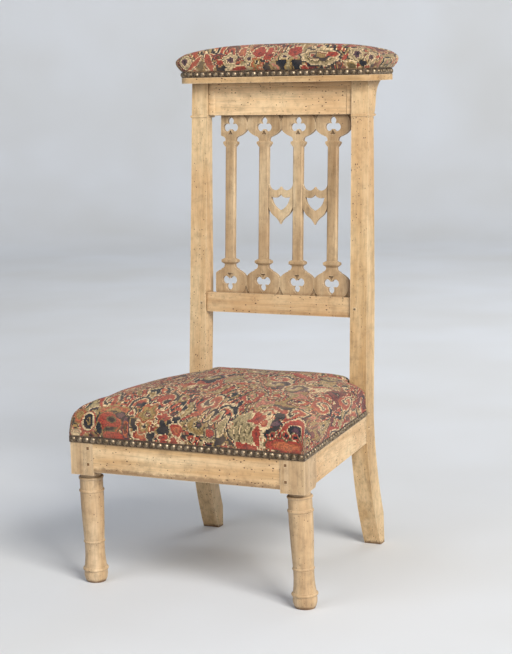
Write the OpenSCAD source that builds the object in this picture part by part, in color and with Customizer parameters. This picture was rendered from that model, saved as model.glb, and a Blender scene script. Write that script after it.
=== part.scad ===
/* [Seat frame] */
// Width over the front leg blocks
seat_w = 450; // [400:1:520]
// Width over the rear posts at the seat
seat_back_w = 369; // [330:1:395]
// Front of the leg blocks to the front of the rear posts
seat_d = 376; // [320:1:440]
// Height of the top edge of the wood that shows round the seat
wood_h = 260; // [235:1:330]
// Height of the seat rails that shows under the nails
rail_show = 52; // [40:1:62]
// Height of the seat rails that the fabric covers
rail_lap = 20; // [16:1:30]
// Thickness of the seat rails
rail_t = 24; // [20:1:28]
// How far the front rail stands back from the leg blocks
front_setback = 1; // [0.2:0.1:3]
// How far the back rail stands back from the front of the posts
back_rail_setback = 10; // [6:1:12]
// How far the leg blocks reach below the rails
block_drop = 6; // [2:1:12]
// Width of a leg block across the front
block_w = 45; // [42:1:52]
// Length of a leg block along the side rail
block_l = 66; // [54:1:80]
// Length that is cut off the lower back corner of a leg block
block_cut = 8; // [3:1:30]

/* [Front legs] */
// How far the turned legs stand behind the middle of their blocks
leg_back = 6.5; // [0:0.5:8]
// Diameter of the toe on the floor
toe_d = 34; // [28:1:38]
// Diameter of the foot over the toe
foot_d = 41; // [38:1:44]
// Diameter at the flare over the lowest ring
flare_d = 40.4; // [38:0.2:44]
// Diameter at the ankle
ankle_d = 36; // [32:1:38]
// Diameter at the top of the shaft
shaft_d = 42; // [38:1:43]
// Diameter of the drum between the two upper rings
drum_d = 41.2; // [38:0.2:43]
// Diameter of the groove under the block
groove_d = 37; // [32:1:40]

/* [Rear posts] */
// Width of a post across the back
post_w = 33.4; // [30:0.2:38]
// Depth of a post at the seat
post_d = 39.5; // [36:0.5:44]
// Depth of a post under the arm board
post_top_d = 24; // [20:0.5:30]
// Height at which the back of the post starts to taper
taper_z = 478; // [440:1:560]
// Height of the underside of the arm board
board_z = 875; // [800:1:920]
// Lean of the posts from the vertical, in degrees
rake = 4; // [2:0.5:6]
// How far a post leans in between the seat and the board
splay_top = 3.4; // [0.5:0.1:6]
// How far a post leans out between the seat and the floor
splay_foot = 4.5; // [0.5:0.1:8]
// How far the foot sweeps back behind the seat
sweep = 56; // [30:1:70]
// Length of the rear foot on the floor
rear_foot_l = 19; // [14:1:30]
// Height of the bead round a post
bead_h = 5; // [4:0.5:8]
// Width of the chamfer on the inner back edge of a post
post_chamfer_w = 4; // [2:0.5:8]
// Depth of the chamfer on the inner back edge of a post
post_chamfer_d = 6.5; // [2:0.5:9]
// How far the bead stands out at the front and sides
bead_out = 2; // [1:0.5:3]
// How far the bead stands out behind, under the corbel
bead_back = 6; // [5:0.5:9]

/* [Back panel] */
// Height of the underside of the lower back rail, along the back
low_rail_at = 181; // [150:1:230]
// Height of the lower back rail
low_rail_h = 37; // [30:1:44]
// Height of the crest rail up to the arm board, along the back
crest_h = 60.5; // [50:0.5:76]
// Thickness of the crest rail and the lower back rail
back_rail_t = 20; // [18:1:22]
// How far both rails stand back from the posts
back_rail_in = 4.5; // [1:0.5:6]
// Width of the border over the sunk field of the crest rail
field_border = 8; // [6:1:14]
// Width of the border beside the sunk field of the crest rail
field_side = 11.5; // [6:0.5:16]
// Depth of the sunk field
field_deep = 1.5; // [0.5:0.1:3]
// Gap between the outer balusters and the posts at the crest
panel_gap = 7.2; // [4:0.1:12]
// How far the balusters stand back from the posts
baluster_in = 12.5; // [11:0.5:13.5]
// Thickness of a baluster head
head_t = 9; // [7:0.5:10]
// How far the spandrels beside a head stand back from its face
spandrel_in = 2.5; // [1:0.5:4]
// Width of a baluster shaft
shaft_w = 20; // [16:0.5:24]
// Thickness of a baluster shaft
shaft_t = 11; // [10:0.5:12]
// Chamfer on the edges of a shaft
shaft_chamfer = 2; // [1:0.1:3]
// How much of the round of a baluster head is cut off by the next head
head_lap = 1.1; // [0.4:0.1:2.8]
// Width of the neck next to a head
neck_w = 21; // [18:0.5:24]
// Width of a lower baluster collar
collar_w = 31; // [26:0.5:34]
// Thickness of a lower baluster collar
collar_t = 17; // [13:0.5:17.4]
// How much narrower and thinner the upper collars are
collar_less = 3; // [0:0.5:5]
// Height of a baluster collar
collar_h = 11; // [8:0.5:14]
// Width that is left on the trimmed side of the first baluster, at the crest
trim_high = 20; // [16:0.5:24]
// Width that is left on the trimmed side of the first baluster, at the lower rail
trim_low = 29; // [22:0.5:32]
// Height of the point inside the tracery, along the back
tracery_at = 377; // [330:1:420]
// Thickness of the tracery
tracery_t = 8; // [6:0.5:8.5]

/* [Arm rest] */
// Length of the arm board
board_l = 403; // [385:1:440]
// Depth of the arm board
board_d = 98; // [94:1:110]
// How far the board stands out in front of the posts
board_front = 24; // [14:1:30]
// Height of the edge of the board that shows
board_show = 10.8; // [8:0.2:16]
// Height of the board that the fabric covers
board_lap = 14; // [12:0.2:20]
// Radius of the front corners of the board
board_corner = 28; // [20:1:34]
// Radius of the rear corners of the board
board_rear_corner = 6; // [4:1:12]
// Depth of a corbel under the board, from the back of the post
corbel_reach = 40; // [34:1:44]

/* [Upholstery] */
// Height of the shoulder of the seat over the wood that shows
seat_pad_h = 64; // [48:1:90]
// Rise of the seat from its front shoulder to its crown
seat_crown = 26; // [8:1:40]
// How much higher the shoulder is at the back and along the sides
seat_rise = 9; // [0:1:14]
// Radius of the shoulder of the seat
seat_round = 27; // [18:1:30]
// How far the sides of the seat swell out
seat_swell = 3; // [1:0.5:6]
// Height of the shoulder of the arm pad over the edge of the board
arm_pad_h = 46; // [36:1:54]
// Rise of the arm pad from its shoulder to its crown
arm_crown = 13.6; // [6:0.2:22]
// Radius of the shoulder of the arm pad
arm_round = 15; // [10:1:17]
// How far the sides of the arm pad swell out
arm_swell = 11; // [4:0.5:12]
// Thickness of the needlework cover
cover_t = 2; // [1.4:0.1:3]
// Diameter of a nail head
nail_d = 10.5; // [8:0.1:11.5]
// Height of a nail head
nail_h = 3.2; // [2:0.1:4]
// Spacing of the nails
nail_pitch = 13.3; // [12:0.1:16]
// Height of the band under the nails of the seat
band_h = 11.2; // [10.8:0.1:13]
// Thickness of the band under the nails
band_t = 1.2; // [0.8:0.1:1.6]
// Width of a webbing strap
strap_w = 50; // [40:1:56]
// Thickness of a webbing strap
strap_t = 1.2; // [0.8:0.1:1.6]

/* [Hidden] */
$fn = 64;

// Diameters of the four turned rings, from the foot up
leg_ring_ds = [46, 38.6, 45, 44.6];
// Heights of the four turned rings, from the foot up
leg_ring_hs = [7, 5.2, 6.6, 5.4];
// Heights of the rings of the right leg, as shares of the turned height
right_ring_shares = [0.119, 0.338, 0.834, 0.951];
// Heights of the rings of the left leg, as shares of the turned height
left_ring_shares = [0.119, 0.37, 0.834, 0.951];
// How far the foot of the right leg has spread sideways and back
right_leg_lean = [7, 0];
// How far the foot of the left leg has spread sideways and back
left_leg_lean = [0, 6];
// Distance from the lower rail and from the crest rail to the middle of a head
head_mids = [24.5, 23];
// Drop of the shoulders of a lower and of an upper head behind its middle
shoulder_drops = [14, 17.5];
// Distance from the middle of a lower and of an upper head to its collar
collar_ats = [30.5, 25.5];

// One overrun for every cut
over = 1;
// Gap left in a glued joint
joint_gap = 0.1;
// Gap left round a soft piece
soft_gap = 0.3;
wood = "#d8b98c";
shade_wood = "#c9a878";
peg_wood = "#7d5d3c";
brass = "#8c7a52";
cloth = "#9c4a38";
jute = "#b59b6a";
hair = "#5b4a38";
iron = "#4a4a4c";
braid = "#3a2c26";

seat_half = seat_back_w / 2;
rail_low = wood_h - rail_show;
rail_top = wood_h + rail_lap;
rail_high = rail_show + rail_lap;
lean = tan(rake);
board_top = board_z + board_show + board_lap;
board_y0 = seat_d + lean * (board_z - wood_h) - board_front;
board_y1 = board_y0 + board_d;
back_rail_y = seat_d + back_rail_setback;
back_face_y = back_rail_y + rail_t;

// Step under the fabric round the arm board, and the first and last nail on each edge
rebate = 2;
nail_end = 6.4;

// Height of the band under the nails of the arm rest
arm_band_h = nail_d + soft_gap;

// Reach of the whole chair to the front, back, left and right
side_angle = atan((seat_w / 2 - seat_half) / seat_d);
front_reach = cover_t + soft_gap + seat_swell;
rear_reach = board_y1 - rebate + cover_t + soft_gap + arm_swell;
nail_reach = seat_w / 2 - nail_end * sin(side_angle) + (band_t + nail_h) * cos(side_angle);
leg_reach = seat_w / 2 - block_w / 2 + leg_ring_ds[0] / 2;
left_reach = max(nail_reach, leg_reach + left_leg_lean.x * (1 - left_ring_shares[0]));
right_reach = max(nail_reach, leg_reach + right_leg_lean.x * (1 - right_ring_shares[0]));
mid_x = (right_reach - left_reach) / 2;
mid_y = (rear_reach - front_reach) / 2;

tenon_t = 8;
tenon_shoulder = 8;
tenon_l = 22;
peg_w = 5;
peg_l = 22;
stub_l = 9;
stub_t = 5;
shank_d = 1.8;
shank_l = nail_end + band_t - shank_d;
tack_d = 6;
tack_h = 0.8;
tack_l = 9;
hessian_t = 0.8;
sweep_r = (wood_h * wood_h + sweep * sweep) / (2 * sweep);
heel_y = seat_d + sweep + rear_foot_l;

// Half width of the wood round the seat, at a distance from the front
function side_x(y) = seat_w / 2 - (seat_w / 2 - seat_half) * y / seat_d;

// Outer and inner face of the right post at a height
function post_out(z) = z < wood_h
    ? seat_half + splay_foot * (wood_h - z) / wood_h
    : seat_half - splay_top * (z - wood_h) / (board_z - wood_h);
function post_in(z) = post_out(z) - post_w;

// Front and back face of a post at a height over the seat
function post_front(z) = seat_d + lean * (z - wood_h);
function post_depth(z) = z < taper_z
    ? post_d
    : post_d - (post_d - post_top_d) * (z - taper_z) / (board_z - taper_z);
function post_back(z) = post_front(z) + post_depth(z);

// World height of a place that is measured along the back
function world_z(t) = wood_h + t * cos(rake);

// Height of the underside of the crest rail, along the back
crest_at = (board_z - wood_h) / cos(rake) - crest_h;

// Spacing of the four balusters, and the radius of their heads
pitch = (post_in(world_z(crest_at)) - panel_gap) / 2;
head_r = pitch / 2 + head_lap;

// Points from p towards q on a curve that swells to the left of the way by a share of its length
function bowed(p, q, share, n = 8) = [
    for (i = [0 : n - 1])
        let (s = i / n, way = q - p)
        p + way * s + [-way.y, way.x] * share * 4 * s * (1 - s)
];

// Moves the chair so that the middle of its base is the origin
module stand() {
    translate([-mid_x, -mid_y, 0]) children();
}

// Extrudes a drawing in Y and Z along X, or one in X and Z along Y
module along_x(x, length) {
    translate([x, 0, 0]) rotate([90, 0, 90]) linear_extrude(length) children();
}
module along_y(y, length) {
    translate([0, y + length, 0]) rotate([90, 0, 0]) linear_extrude(length) children();
}

// Draws on the leaning plane of the back: X, height along the back, depth
module on_back(depth) {
    translate([0, seat_d, wood_h]) rotate([-rake, 0, 0]) translate([0, depth, 0]) children();
}

module square_peg(clear = 0) {
    side = peg_w + 2 * clear;
    translate([-side / 2, 0, -side / 2]) cube([side, peg_l + clear, side]);
}

// Draw-bored pegs through the tenons of the seat rails, on the right half
block_peg_shares = [0.26, 0.81];
post_peg_shares = [0.37, 0.75];
front_peg_in = 10;
side_peg_in = 11;
post_peg_in = 15;
back_peg_in = 9;
back_peg_share = 0.45;
module right_seat_pegs(clear = 0) {
    for (share = block_peg_shares) {
        peg_z = rail_low + rail_show * share;
        translate([seat_w / 2 - block_w + front_peg_in, 0, peg_z]) square_peg(clear);
        translate([side_x(block_l - side_peg_in), block_l - side_peg_in, peg_z])
            rotate([0, 0, 90]) square_peg(clear);
    }
    for (share = post_peg_shares) {
        peg_z = rail_low + rail_high * share;
        translate([post_out(peg_z), post_front(peg_z) + post_peg_in, peg_z])
            rotate([0, 0, 90]) square_peg(clear);
    }
}

// Peg through the tenon of the lower back rail, on the right half
module right_back_peg(clear = 0) {
    t = low_rail_at + low_rail_h * back_peg_share;
    on_back(0) translate([post_in(world_z(t)) + back_peg_in, 0, t]) square_peg(clear);
}

module seat_pegs() {
    color(peg_wood) stand() {
        right_seat_pegs();
        mirror([1, 0, 0]) right_seat_pegs();
    }
}
module back_pegs() {
    color(peg_wood) stand() {
        right_back_peg();
        mirror([1, 0, 0]) right_back_peg();
    }
}

// Outline of the turned leg from the axis out, toe to block
leg_top = rail_low - block_drop;
leg_curve_shares = [-0.09, 0.028, -0.006];
module leg_outline(ring_shares) {
    low = [for (i = [0 : 3]) leg_top * ring_shares[i] - leg_ring_hs[i] / 2];
    high = low + leg_ring_hs;
    polygon(concat(
        [[0, -over], [toe_d / 2, -over]],
        bowed([toe_d / 2, 0], [foot_d / 2, low[0]], leg_curve_shares[0]),
        [[foot_d / 2, low[0]]],
        bowed([flare_d / 2, high[0]], [ankle_d / 2, low[1]], leg_curve_shares[1]),
        bowed([ankle_d / 2, high[1]], [shaft_d / 2, low[2]], leg_curve_shares[2]),
        [[shaft_d / 2, low[2]], [drum_d / 2, high[2]], [drum_d / 2, low[3]],
         [groove_d / 2, high[3]], [groove_d / 2, leg_top + over], [0, leg_top + over]]
    ));
    for (i = [0 : 3])
        translate([0, low[i]]) {
            square([(leg_ring_ds[i] - leg_ring_hs[i]) / 2, leg_ring_hs[i]]);
            translate([(leg_ring_ds[i] - leg_ring_hs[i]) / 2, leg_ring_hs[i] / 2])
                circle(d = leg_ring_hs[i], $fn = 32);
        }
}
module turned_leg(ring_shares, lean_out) {
    difference() {
        translate([seat_w / 2 - block_w / 2, block_w / 2 + leg_back, leg_top])
            rotate([atan(lean_out.y / leg_top), -atan(lean_out.x / leg_top), 0])
                translate([0, 0, -leg_top]) rotate_extrude($fn = 96) leg_outline(ring_shares);
        translate([0, -block_l, -rail_low]) cube([seat_w, 3 * block_l, rail_low]);
        translate([0, -block_l, leg_top]) cube([seat_w, 3 * block_l, rail_low]);
    }
}

module right_leg(ring_shares, lean_out) {
    difference() {
        union() {
            turned_leg(ring_shares, lean_out);
            intersection() {
                translate([0, 0, leg_top]) linear_extrude(rail_top - leg_top)
                    polygon([[seat_w / 2 - block_w, 0], [seat_w / 2, 0], [side_x(block_l), block_l],
                             [seat_w / 2 - block_w, block_l]]);
                along_x(0, seat_w)
                    polygon([[0, leg_top], [block_l - block_cut, leg_top], [block_l, leg_top + block_cut],
                             [block_l, rail_top], [0, rail_top]]);
                inner_block_plan();
            }
        }
        front_tenon(joint_gap);
        side_tenon(joint_gap);
        right_seat_pegs(joint_gap);
        seat_nail_shanks();
        webbing_tack_shanks();
    }
}
module inner_block_plan() {
    translate([0, 0, leg_top]) linear_extrude(rail_top - leg_top) union() {
        square([seat_w / 2, block_w]);
        translate([seat_w / 2 - block_w / 2 - rail_t / 2, 0]) square([seat_w, block_l]);
    }
}
module front_left_leg() {
    color(wood) stand() mirror([1, 0, 0]) right_leg(left_ring_shares, left_leg_lean);
}
module front_right_leg() {
    color(wood) stand() right_leg(right_ring_shares, right_leg_lean);
}

// Side view of a rear post: sabre leg, heel cut and leaning upright
module post_side(grow = 0) {
    intersection() {
        translate([seat_d + sweep_r, wood_h]) difference() {
            circle(r = sweep_r + grow, $fn = 720);
            circle(r = sweep_r - post_d - grow, $fn = 720);
        }
        square([heel_y + grow, wood_h]);
    }
    polygon([[seat_d - grow, wood_h], [post_front(board_z) - grow, board_z],
             [post_back(board_z) + grow, board_z], [post_back(taper_z) + grow, taper_z],
             [seat_d + post_d + grow, wood_h]]);
}
module post_face() {
    polygon([[post_in(0), 0], [post_out(0), 0], [post_out(wood_h), wood_h], [post_out(board_z), board_z],
             [post_in(board_z), board_z], [post_in(wood_h), wood_h]]);
}
bead_z = world_z(crest_at) - bead_h;
module post_bead() {
    intersection() {
        along_x(0, seat_w) union() {
            translate([post_front(bead_z) - bead_out + bead_h / 2, bead_z + bead_h / 2]) circle(d = bead_h);
            translate([post_back(bead_z) + bead_back - bead_h / 2, bead_z + bead_h / 2]) circle(d = bead_h);
            translate([post_front(bead_z) - bead_out + bead_h / 2, bead_z])
                square([post_depth(bead_z) + bead_out + bead_back - bead_h, bead_h]);
        }
        along_y(0, 2 * seat_d) union() {
            translate([post_out(bead_z) + bead_out - bead_h / 2, bead_z + bead_h / 2]) circle(d = bead_h);
            translate([post_in(bead_z), bead_z]) square([post_w + bead_out - bead_h / 2, bead_h]);
        }
    }
}
module post_stub(clear = 0) {
    size = [post_w - 2 * tenon_shoulder, post_top_d - tenon_shoulder, stub_l];
    at = [post_in(board_z) + tenon_shoulder, post_front(board_z) + tenon_shoulder / 2, board_z];
    translate(at - [clear, clear, over]) cube(size + [2 * clear, 2 * clear, over + clear]);
}
// Chamfer on the inner back edge, along each straight part and round the sabre leg
module chamfer_corner() {
    slope = post_chamfer_d / post_chamfer_w;
    polygon([[-over, over], [-over, -post_chamfer_d - over * slope], [post_chamfer_w + over / slope, over]]);
}
module straight_chamfer(z0, z1) {
    from = [post_in(z0), post_back(z0), z0];
    way = [post_in(z1), post_back(z1), z1] - from;
    translate(from) rotate([-asin(way.y / norm(way)), atan(way.x / way.z), 0])
        translate([0, 0, -over]) linear_extrude(norm(way) + 2 * over) chamfer_corner();
}
module sabre_chamfer() {
    translate([post_in(wood_h), seat_d + sweep_r, wood_h])
        rotate([0, atan(-splay_foot / wood_h), 0]) rotate([0, 90, 0])
            rotate_extrude($fn = 720) rotate(90)
                translate([0, post_d - sweep_r]) chamfer_corner();
}
module right_post() {
    difference() {
        union() {
            difference() {
                intersection() {
                    along_x(0, seat_w) post_side();
                    along_y(0, 2 * seat_d) post_face();
                }
                straight_chamfer(wood_h, taper_z);
                straight_chamfer(taper_z, board_z);
                sabre_chamfer();
            }
            post_bead();
            post_stub();
        }
        side_tenon(joint_gap);
        back_rail_tenon(joint_gap);
        low_rail_tenon(joint_gap);
        crest_tenon(joint_gap);
        right_seat_pegs(joint_gap);
        right_back_peg(joint_gap);
    }
}
module rear_left_post() {
    color(wood) stand() mirror([1, 0, 0]) right_post();
}
module rear_right_post() {
    color(wood) stand() right_post();
}

// Tongues at the ends of the seat rails, on the right half
function tongue_size(length, clear) =
    [length + over + clear, tenon_t + 2 * clear, rail_high - 2 * tenon_shoulder + 2 * clear];
module front_tenon(clear = 0) {
    at = [seat_w / 2 - block_w, front_setback + tenon_shoulder, rail_low + tenon_shoulder];
    translate(at - [over, clear, clear]) cube(tongue_size(tenon_l, clear));
}
side_length = norm([seat_w / 2 - seat_half, seat_d]);
side_tenon_l = 24;
module side_tenon(clear = 0) {
    start = block_l / cos(side_angle) - tenon_l - clear;
    size = [tenon_t, side_length - start + side_tenon_l, rail_high - 2 * tenon_shoulder];
    translate([seat_w / 2, 0, 0]) rotate([0, 0, side_angle])
        translate([-tenon_shoulder - tenon_t - clear, start, rail_low + tenon_shoulder - clear])
            cube(size + [2 * clear, clear, 2 * clear]);
}
back_tenon_l = 13;
module back_rail_tenon(clear = 0) {
    at = [post_in(rail_top), back_face_y - tenon_shoulder - tenon_t, rail_low + tenon_shoulder];
    translate(at - [over, clear, clear]) cube(tongue_size(back_tenon_l, clear));
}

module front_seat_rail() {
    color(wood) stand() difference() {
        union() {
            translate([-seat_w / 2 + block_w + joint_gap, front_setback, rail_low])
                cube([seat_w - 2 * block_w - 2 * joint_gap, rail_t, rail_high]);
            front_tenon();
            mirror([1, 0, 0]) front_tenon();
        }
        right_seat_pegs(joint_gap);
        mirror([1, 0, 0]) right_seat_pegs(joint_gap);
        seat_nail_shanks();
        webbing_tack_shanks();
    }
}
module back_seat_rail() {
    ends = [for (z = [rail_low, wood_h, rail_top]) post_in(z) - joint_gap];
    color(shade_wood) stand() difference() {
        union() {
            along_y(back_rail_y, rail_t)
                polygon([[-ends[0], rail_low], [ends[0], rail_low], [ends[1], wood_h], [ends[2], rail_top],
                         [-ends[2], rail_top], [-ends[1], wood_h]]);
            back_rail_tenon();
            mirror([1, 0, 0]) back_rail_tenon();
        }
        seat_nail_shanks();
        webbing_tack_shanks();
    }
}
module right_side_rail() {
    from = block_l + joint_gap;
    to = seat_d + post_d;
    difference() {
        union() {
            translate([0, 0, rail_low]) linear_extrude(rail_high)
                polygon([[side_x(from), from], [side_x(to), to], [side_x(to) - rail_t, to],
                         [side_x(from) - rail_t, from]]);
            side_tenon();
        }
        difference() {
            along_x(0, seat_w) post_side(joint_gap);
            side_tenon();
        }
        translate([0, seat_d + post_d / 2, rail_low - over]) cube([seat_w, seat_d, rail_high + 2 * over]);
        right_seat_pegs(joint_gap);
        seat_nail_shanks();
        webbing_tack_shanks();
    }
}
module left_seat_rail() {
    color(wood) stand() mirror([1, 0, 0]) right_side_rail();
}
module right_seat_rail() {
    color(wood) stand() right_side_rail();
}

// Tongues of the lower back rail and the crest rail, on the right half
back_tongue_l = 18;
module back_tongue(t, height, clear) {
    on_back(back_rail_in + (back_rail_t - tenon_t) / 2 - clear)
        translate([post_in(world_z(t)) - over, 0, t + tenon_shoulder / 2 - clear])
            cube([back_tongue_l + over + clear, tenon_t + 2 * clear, height - tenon_shoulder + 2 * clear]);
}
module low_rail_tenon(clear = 0) {
    back_tongue(low_rail_at, low_rail_h, clear);
}
module crest_tenon(clear = 0) {
    back_tongue(crest_at, crest_h - tenon_shoulder, clear);
}

module back_rail_bar(t, height) {
    low = post_in(world_z(t)) - joint_gap;
    high = post_in(world_z(t + height)) - joint_gap;
    on_back(back_rail_in)
        along_y(0, back_rail_t)
            polygon([[-low, t], [low, t], [high, t + height], [-high, t + height]]);
}
module lower_back_rail() {
    color(wood) stand() difference() {
        union() {
            back_rail_bar(low_rail_at, low_rail_h);
            low_rail_tenon();
            mirror([1, 0, 0]) low_rail_tenon();
        }
        for (i = [0 : 3]) baluster_stubs(i, joint_gap);
        right_back_peg(joint_gap);
        mirror([1, 0, 0]) right_back_peg(joint_gap);
    }
}
module crest_rail() {
    field_w = 2 * (post_in(board_z) - field_side);
    color(wood) stand() difference() {
        union() {
            difference() {
                back_rail_bar(crest_at, crest_h + back_rail_t);
                translate([-seat_w / 2, 0, board_z]) cube([seat_w, 2 * seat_d, back_rail_t + crest_h]);
                on_back(back_rail_in - over) translate([-field_w / 2, 0, crest_at - over])
                    cube([field_w, field_deep + over, crest_h - field_border + over]);
            }
            crest_tenon();
            mirror([1, 0, 0]) crest_tenon();
        }
        for (i = [0 : 3]) baluster_stubs(i, joint_gap);
        right_back_peg(joint_gap);
        mirror([1, 0, 0]) right_back_peg(joint_gap);
    }
}

// A baluster: a head with a pierced trefoil at each end of a chamfered shaft
low_t = low_rail_at + low_rail_h;
low_mid = low_t + head_mids[0];
high_mid = crest_at - head_mids[1];
shaft_from = low_mid + collar_ats[0];
shaft_to = high_mid - collar_ats[1];
shoulder_in = 0.6;
shoulder_r = head_r - shoulder_in;
shoulder_x = 6;
neck_fillet = 7;
lobe_r = 7.6;
lobe_x = 8.2;
tip_r = 6.8;
tip_at = 12;
web_in = 3.4;
tip_shares = [0.7, 1.4];
point_shares = [0.95, 1.41];
notch_w = 11;
notch_h = 8.4;
notch_at = 5.2;
notch_deep = 3;
module head_outline(i) {
    intersection() {
        circle(r = head_r, $fn = 128);
        union() {
            for (side = [-1, 1])
                translate([side * shoulder_x, -shoulder_drops[i]]) circle(r = shoulder_r, $fn = 128);
        }
        translate([-pitch / 2 + joint_gap / 2, -head_mids[i]]) square([pitch - joint_gap, 2 * head_r]);
    }
    difference() {
        translate([-neck_w / 2 - neck_fillet, 0])
            square([neck_w + 2 * neck_fillet, collar_ats[i] + over]);
        for (side = [-1, 1])
            translate([side * (neck_w / 2 + neck_fillet), collar_ats[i] - neck_fillet / 4]) {
                circle(r = neck_fillet);
                translate([-neck_fillet, 0]) square(2 * neck_fillet);
            }
    }
}
module trefoil() {
    for (side = [-1, 1]) translate([side * lobe_x, 0]) circle(r = lobe_r);
    translate([0, -tip_at]) circle(r = tip_r);
    translate([0, -tip_at])
        polygon([[-tip_r * point_shares[0], 0], [tip_r * point_shares[0], 0], [0, -tip_r * point_shares[1]]]);
    translate([-tip_r * tip_shares[0], -tip_at]) square([tip_r * tip_shares[1], tip_at + web_in]);
}
module spandrels(i, sides) {
    for (side = sides)
        translate([side > 0 ? 0 : joint_gap / 2 - pitch / 2, -head_mids[i]])
            square([pitch / 2 - joint_gap / 2, head_mids[i]]);
}
module head_plate(i, sides) {
    face = (shaft_t - head_t) / 2;
    difference() {
        union() {
            along_y(face, head_t) head_outline(i);
            along_y(face + spandrel_in, head_t - spandrel_in) spandrels(i, sides);
        }
        along_y(face - over, head_t + 2 * over) trefoil();
        along_y((shaft_t - head_t) / 2 - over, notch_deep + over)
            polygon([[-notch_w / 2, notch_at + notch_h], [notch_w / 2, notch_at + notch_h], [0, notch_at]]);
    }
}
module shaft_collar(less, shares) {
    wide = (collar_w - less) / 2;
    deep = (collar_t - less) / 2;
    intersection() {
        along_y(-collar_t, 3 * collar_t) collar_profile(wide, shaft_w / 2, shares);
        translate([0, shaft_t / 2, 0]) along_x(-wide, 2 * wide) collar_profile(deep, shaft_t / 2, shares);
    }
}
low_collar_shares = [0.35, 0.75];
high_collar_shares = [0.15, 0.45];
module collar_profile(wide, narrow, shares) {
    low = collar_h * shares[0];
    high = collar_h * shares[1];
    polygon([[-narrow, 0], [narrow, 0], [wide, low], [wide, high], [narrow, collar_h], [-narrow, collar_h],
             [-wide, high], [-wide, low]]);
}
module shaft_bar(length) {
    c = shaft_chamfer;
    w = shaft_w / 2;
    linear_extrude(length)
        polygon([[-w + c, 0], [w - c, 0], [w, c], [w, shaft_t - c], [w - c, shaft_t], [-w + c, shaft_t],
                 [-w, shaft_t - c], [-w, c]]);
}
function baluster_x(i) = (i - 1.5) * pitch;
stub_w = 26;
module baluster_stubs(i, clear = 0) {
    on_back(baluster_in + (shaft_t - stub_t) / 2 - clear)
        translate([baluster_x(i) - stub_w / 2 - clear, 0, low_t - stub_l - clear])
            cube([stub_w + 2 * clear, stub_t + 2 * clear, crest_at - low_t + 2 * stub_l + 2 * clear]);
}
module baluster(i) {
    sides = i == 0 ? [1] : [-1, 1];
    difference() {
        union() {
            on_back(baluster_in) translate([baluster_x(i), 0, 0]) {
                translate([0, 0, low_mid]) head_plate(0, sides);
                translate([0, 0, high_mid]) mirror([0, 0, 1]) head_plate(1, sides);
                translate([0, 0, shaft_from]) shaft_bar(shaft_to - shaft_from);
                translate([0, 0, shaft_from]) shaft_collar(0, low_collar_shares);
                translate([0, 0, shaft_to]) mirror([0, 0, 1]) shaft_collar(collar_less, high_collar_shares);
            }
            difference() {
                baluster_stubs(i);
                on_back(0) translate([-seat_w / 2, -over, low_t + over])
                    cube([seat_w, post_d, crest_at - low_t - 2 * over]);
            }
        }
        if (i == 0) trim_cut();
        if (i == 1) tracery_tongues(1, joint_gap);
        if (i == 2) {
            tracery_tongues(1, joint_gap);
            tracery_tongues(2, joint_gap);
        }
        if (i == 3) tracery_tongues(2, joint_gap);
    }
}

// The first baluster is trimmed on its outer side, more at the crest than below
module trim_cut() {
    half = (low_t + crest_at) / 2;
    on_back(0) {
        translate([baluster_x(0) - trim_low - seat_w, -over, low_t]) cube([seat_w, post_d, half - low_t]);
        translate([baluster_x(0) - trim_high - seat_w, -over, half]) cube([seat_w, post_d, crest_at - half]);
    }
}
module baluster_1() {
    color(wood) stand() baluster(0);
}
module baluster_2() {
    color(wood) stand() baluster(1);
}
module baluster_3() {
    color(wood) stand() baluster(2);
}
module baluster_4() {
    color(wood) stand() baluster(3);
}

// Tracery between two shafts: a shield ring under two scallops
gap_half = (pitch - shaft_w) / 2 - joint_gap;
ring_share = 0.773;
ring_w = gap_half * ring_share;
ring_h = 26;
point_drop = 26;
point_shoulder = 13;
side_low = 6;
cusp_h = 45;
side_cusp_h = 49.5;
scallop_low = 38;
lobe_notch = 31;
tongue_l = 3;
tongue_h = 14;
tongue_t = 4;
outer_shares = [0.4, 0.06, -0.09, 0.2, 0.15, 0.45];
inner_shares = [-0.145, 0.22];
module tracery_half_outline() {
    turn = [gap_half * outer_shares[0], -point_shoulder];
    dip = [gap_half * outer_shares[5], scallop_low];
    polygon(concat(
        bowed([0, -point_drop], turn, outer_shares[1]),
        bowed(turn, [gap_half, side_low], outer_shares[2]),
        [[gap_half, side_low]],
        bowed([gap_half, side_cusp_h], dip, outer_shares[3]),
        bowed(dip, [0, cusp_h], outer_shares[4]),
        [[0, cusp_h]]
    ));
}
module tracery_half_hole() {
    polygon(concat(
        bowed([0, 0], [ring_w, ring_h], inner_shares[0]),
        bowed([ring_w, ring_h], [0, lobe_notch], inner_shares[1]),
        [[0, lobe_notch]]
    ));
}
module tracery_tongues(i, clear = 0) {
    bay_x = i * pitch - pitch;
    reach = gap_half + joint_gap + tongue_l + clear;
    on_back(baluster_in + (shaft_t - tongue_t) / 2 - clear)
        translate([bay_x - reach, 0, tracery_at + lobe_notch - clear])
            cube([2 * reach, tongue_t + 2 * clear, tongue_h + 2 * clear]);
}
module tracery(i) {
    bay_x = i * pitch - pitch;
    on_back(baluster_in + (shaft_t - tracery_t) / 2) translate([bay_x, 0, tracery_at])
        along_y(0, tracery_t) difference() {
            union() {
                tracery_half_outline();
                mirror([1, 0]) tracery_half_outline();
            }
            union() {
                tracery_half_hole();
                mirror([1, 0]) tracery_half_hole();
            }
        }
    difference() {
        tracery_tongues(i);
        on_back(0) translate([bay_x - gap_half + over, 0, 0])
            cube([2 * (gap_half - over), post_d, crest_at]);
    }
}
module tracery_left() {
    color(wood) stand() tracery(1);
}
module tracery_right() {
    color(wood) stand() tracery(2);
}

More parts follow.
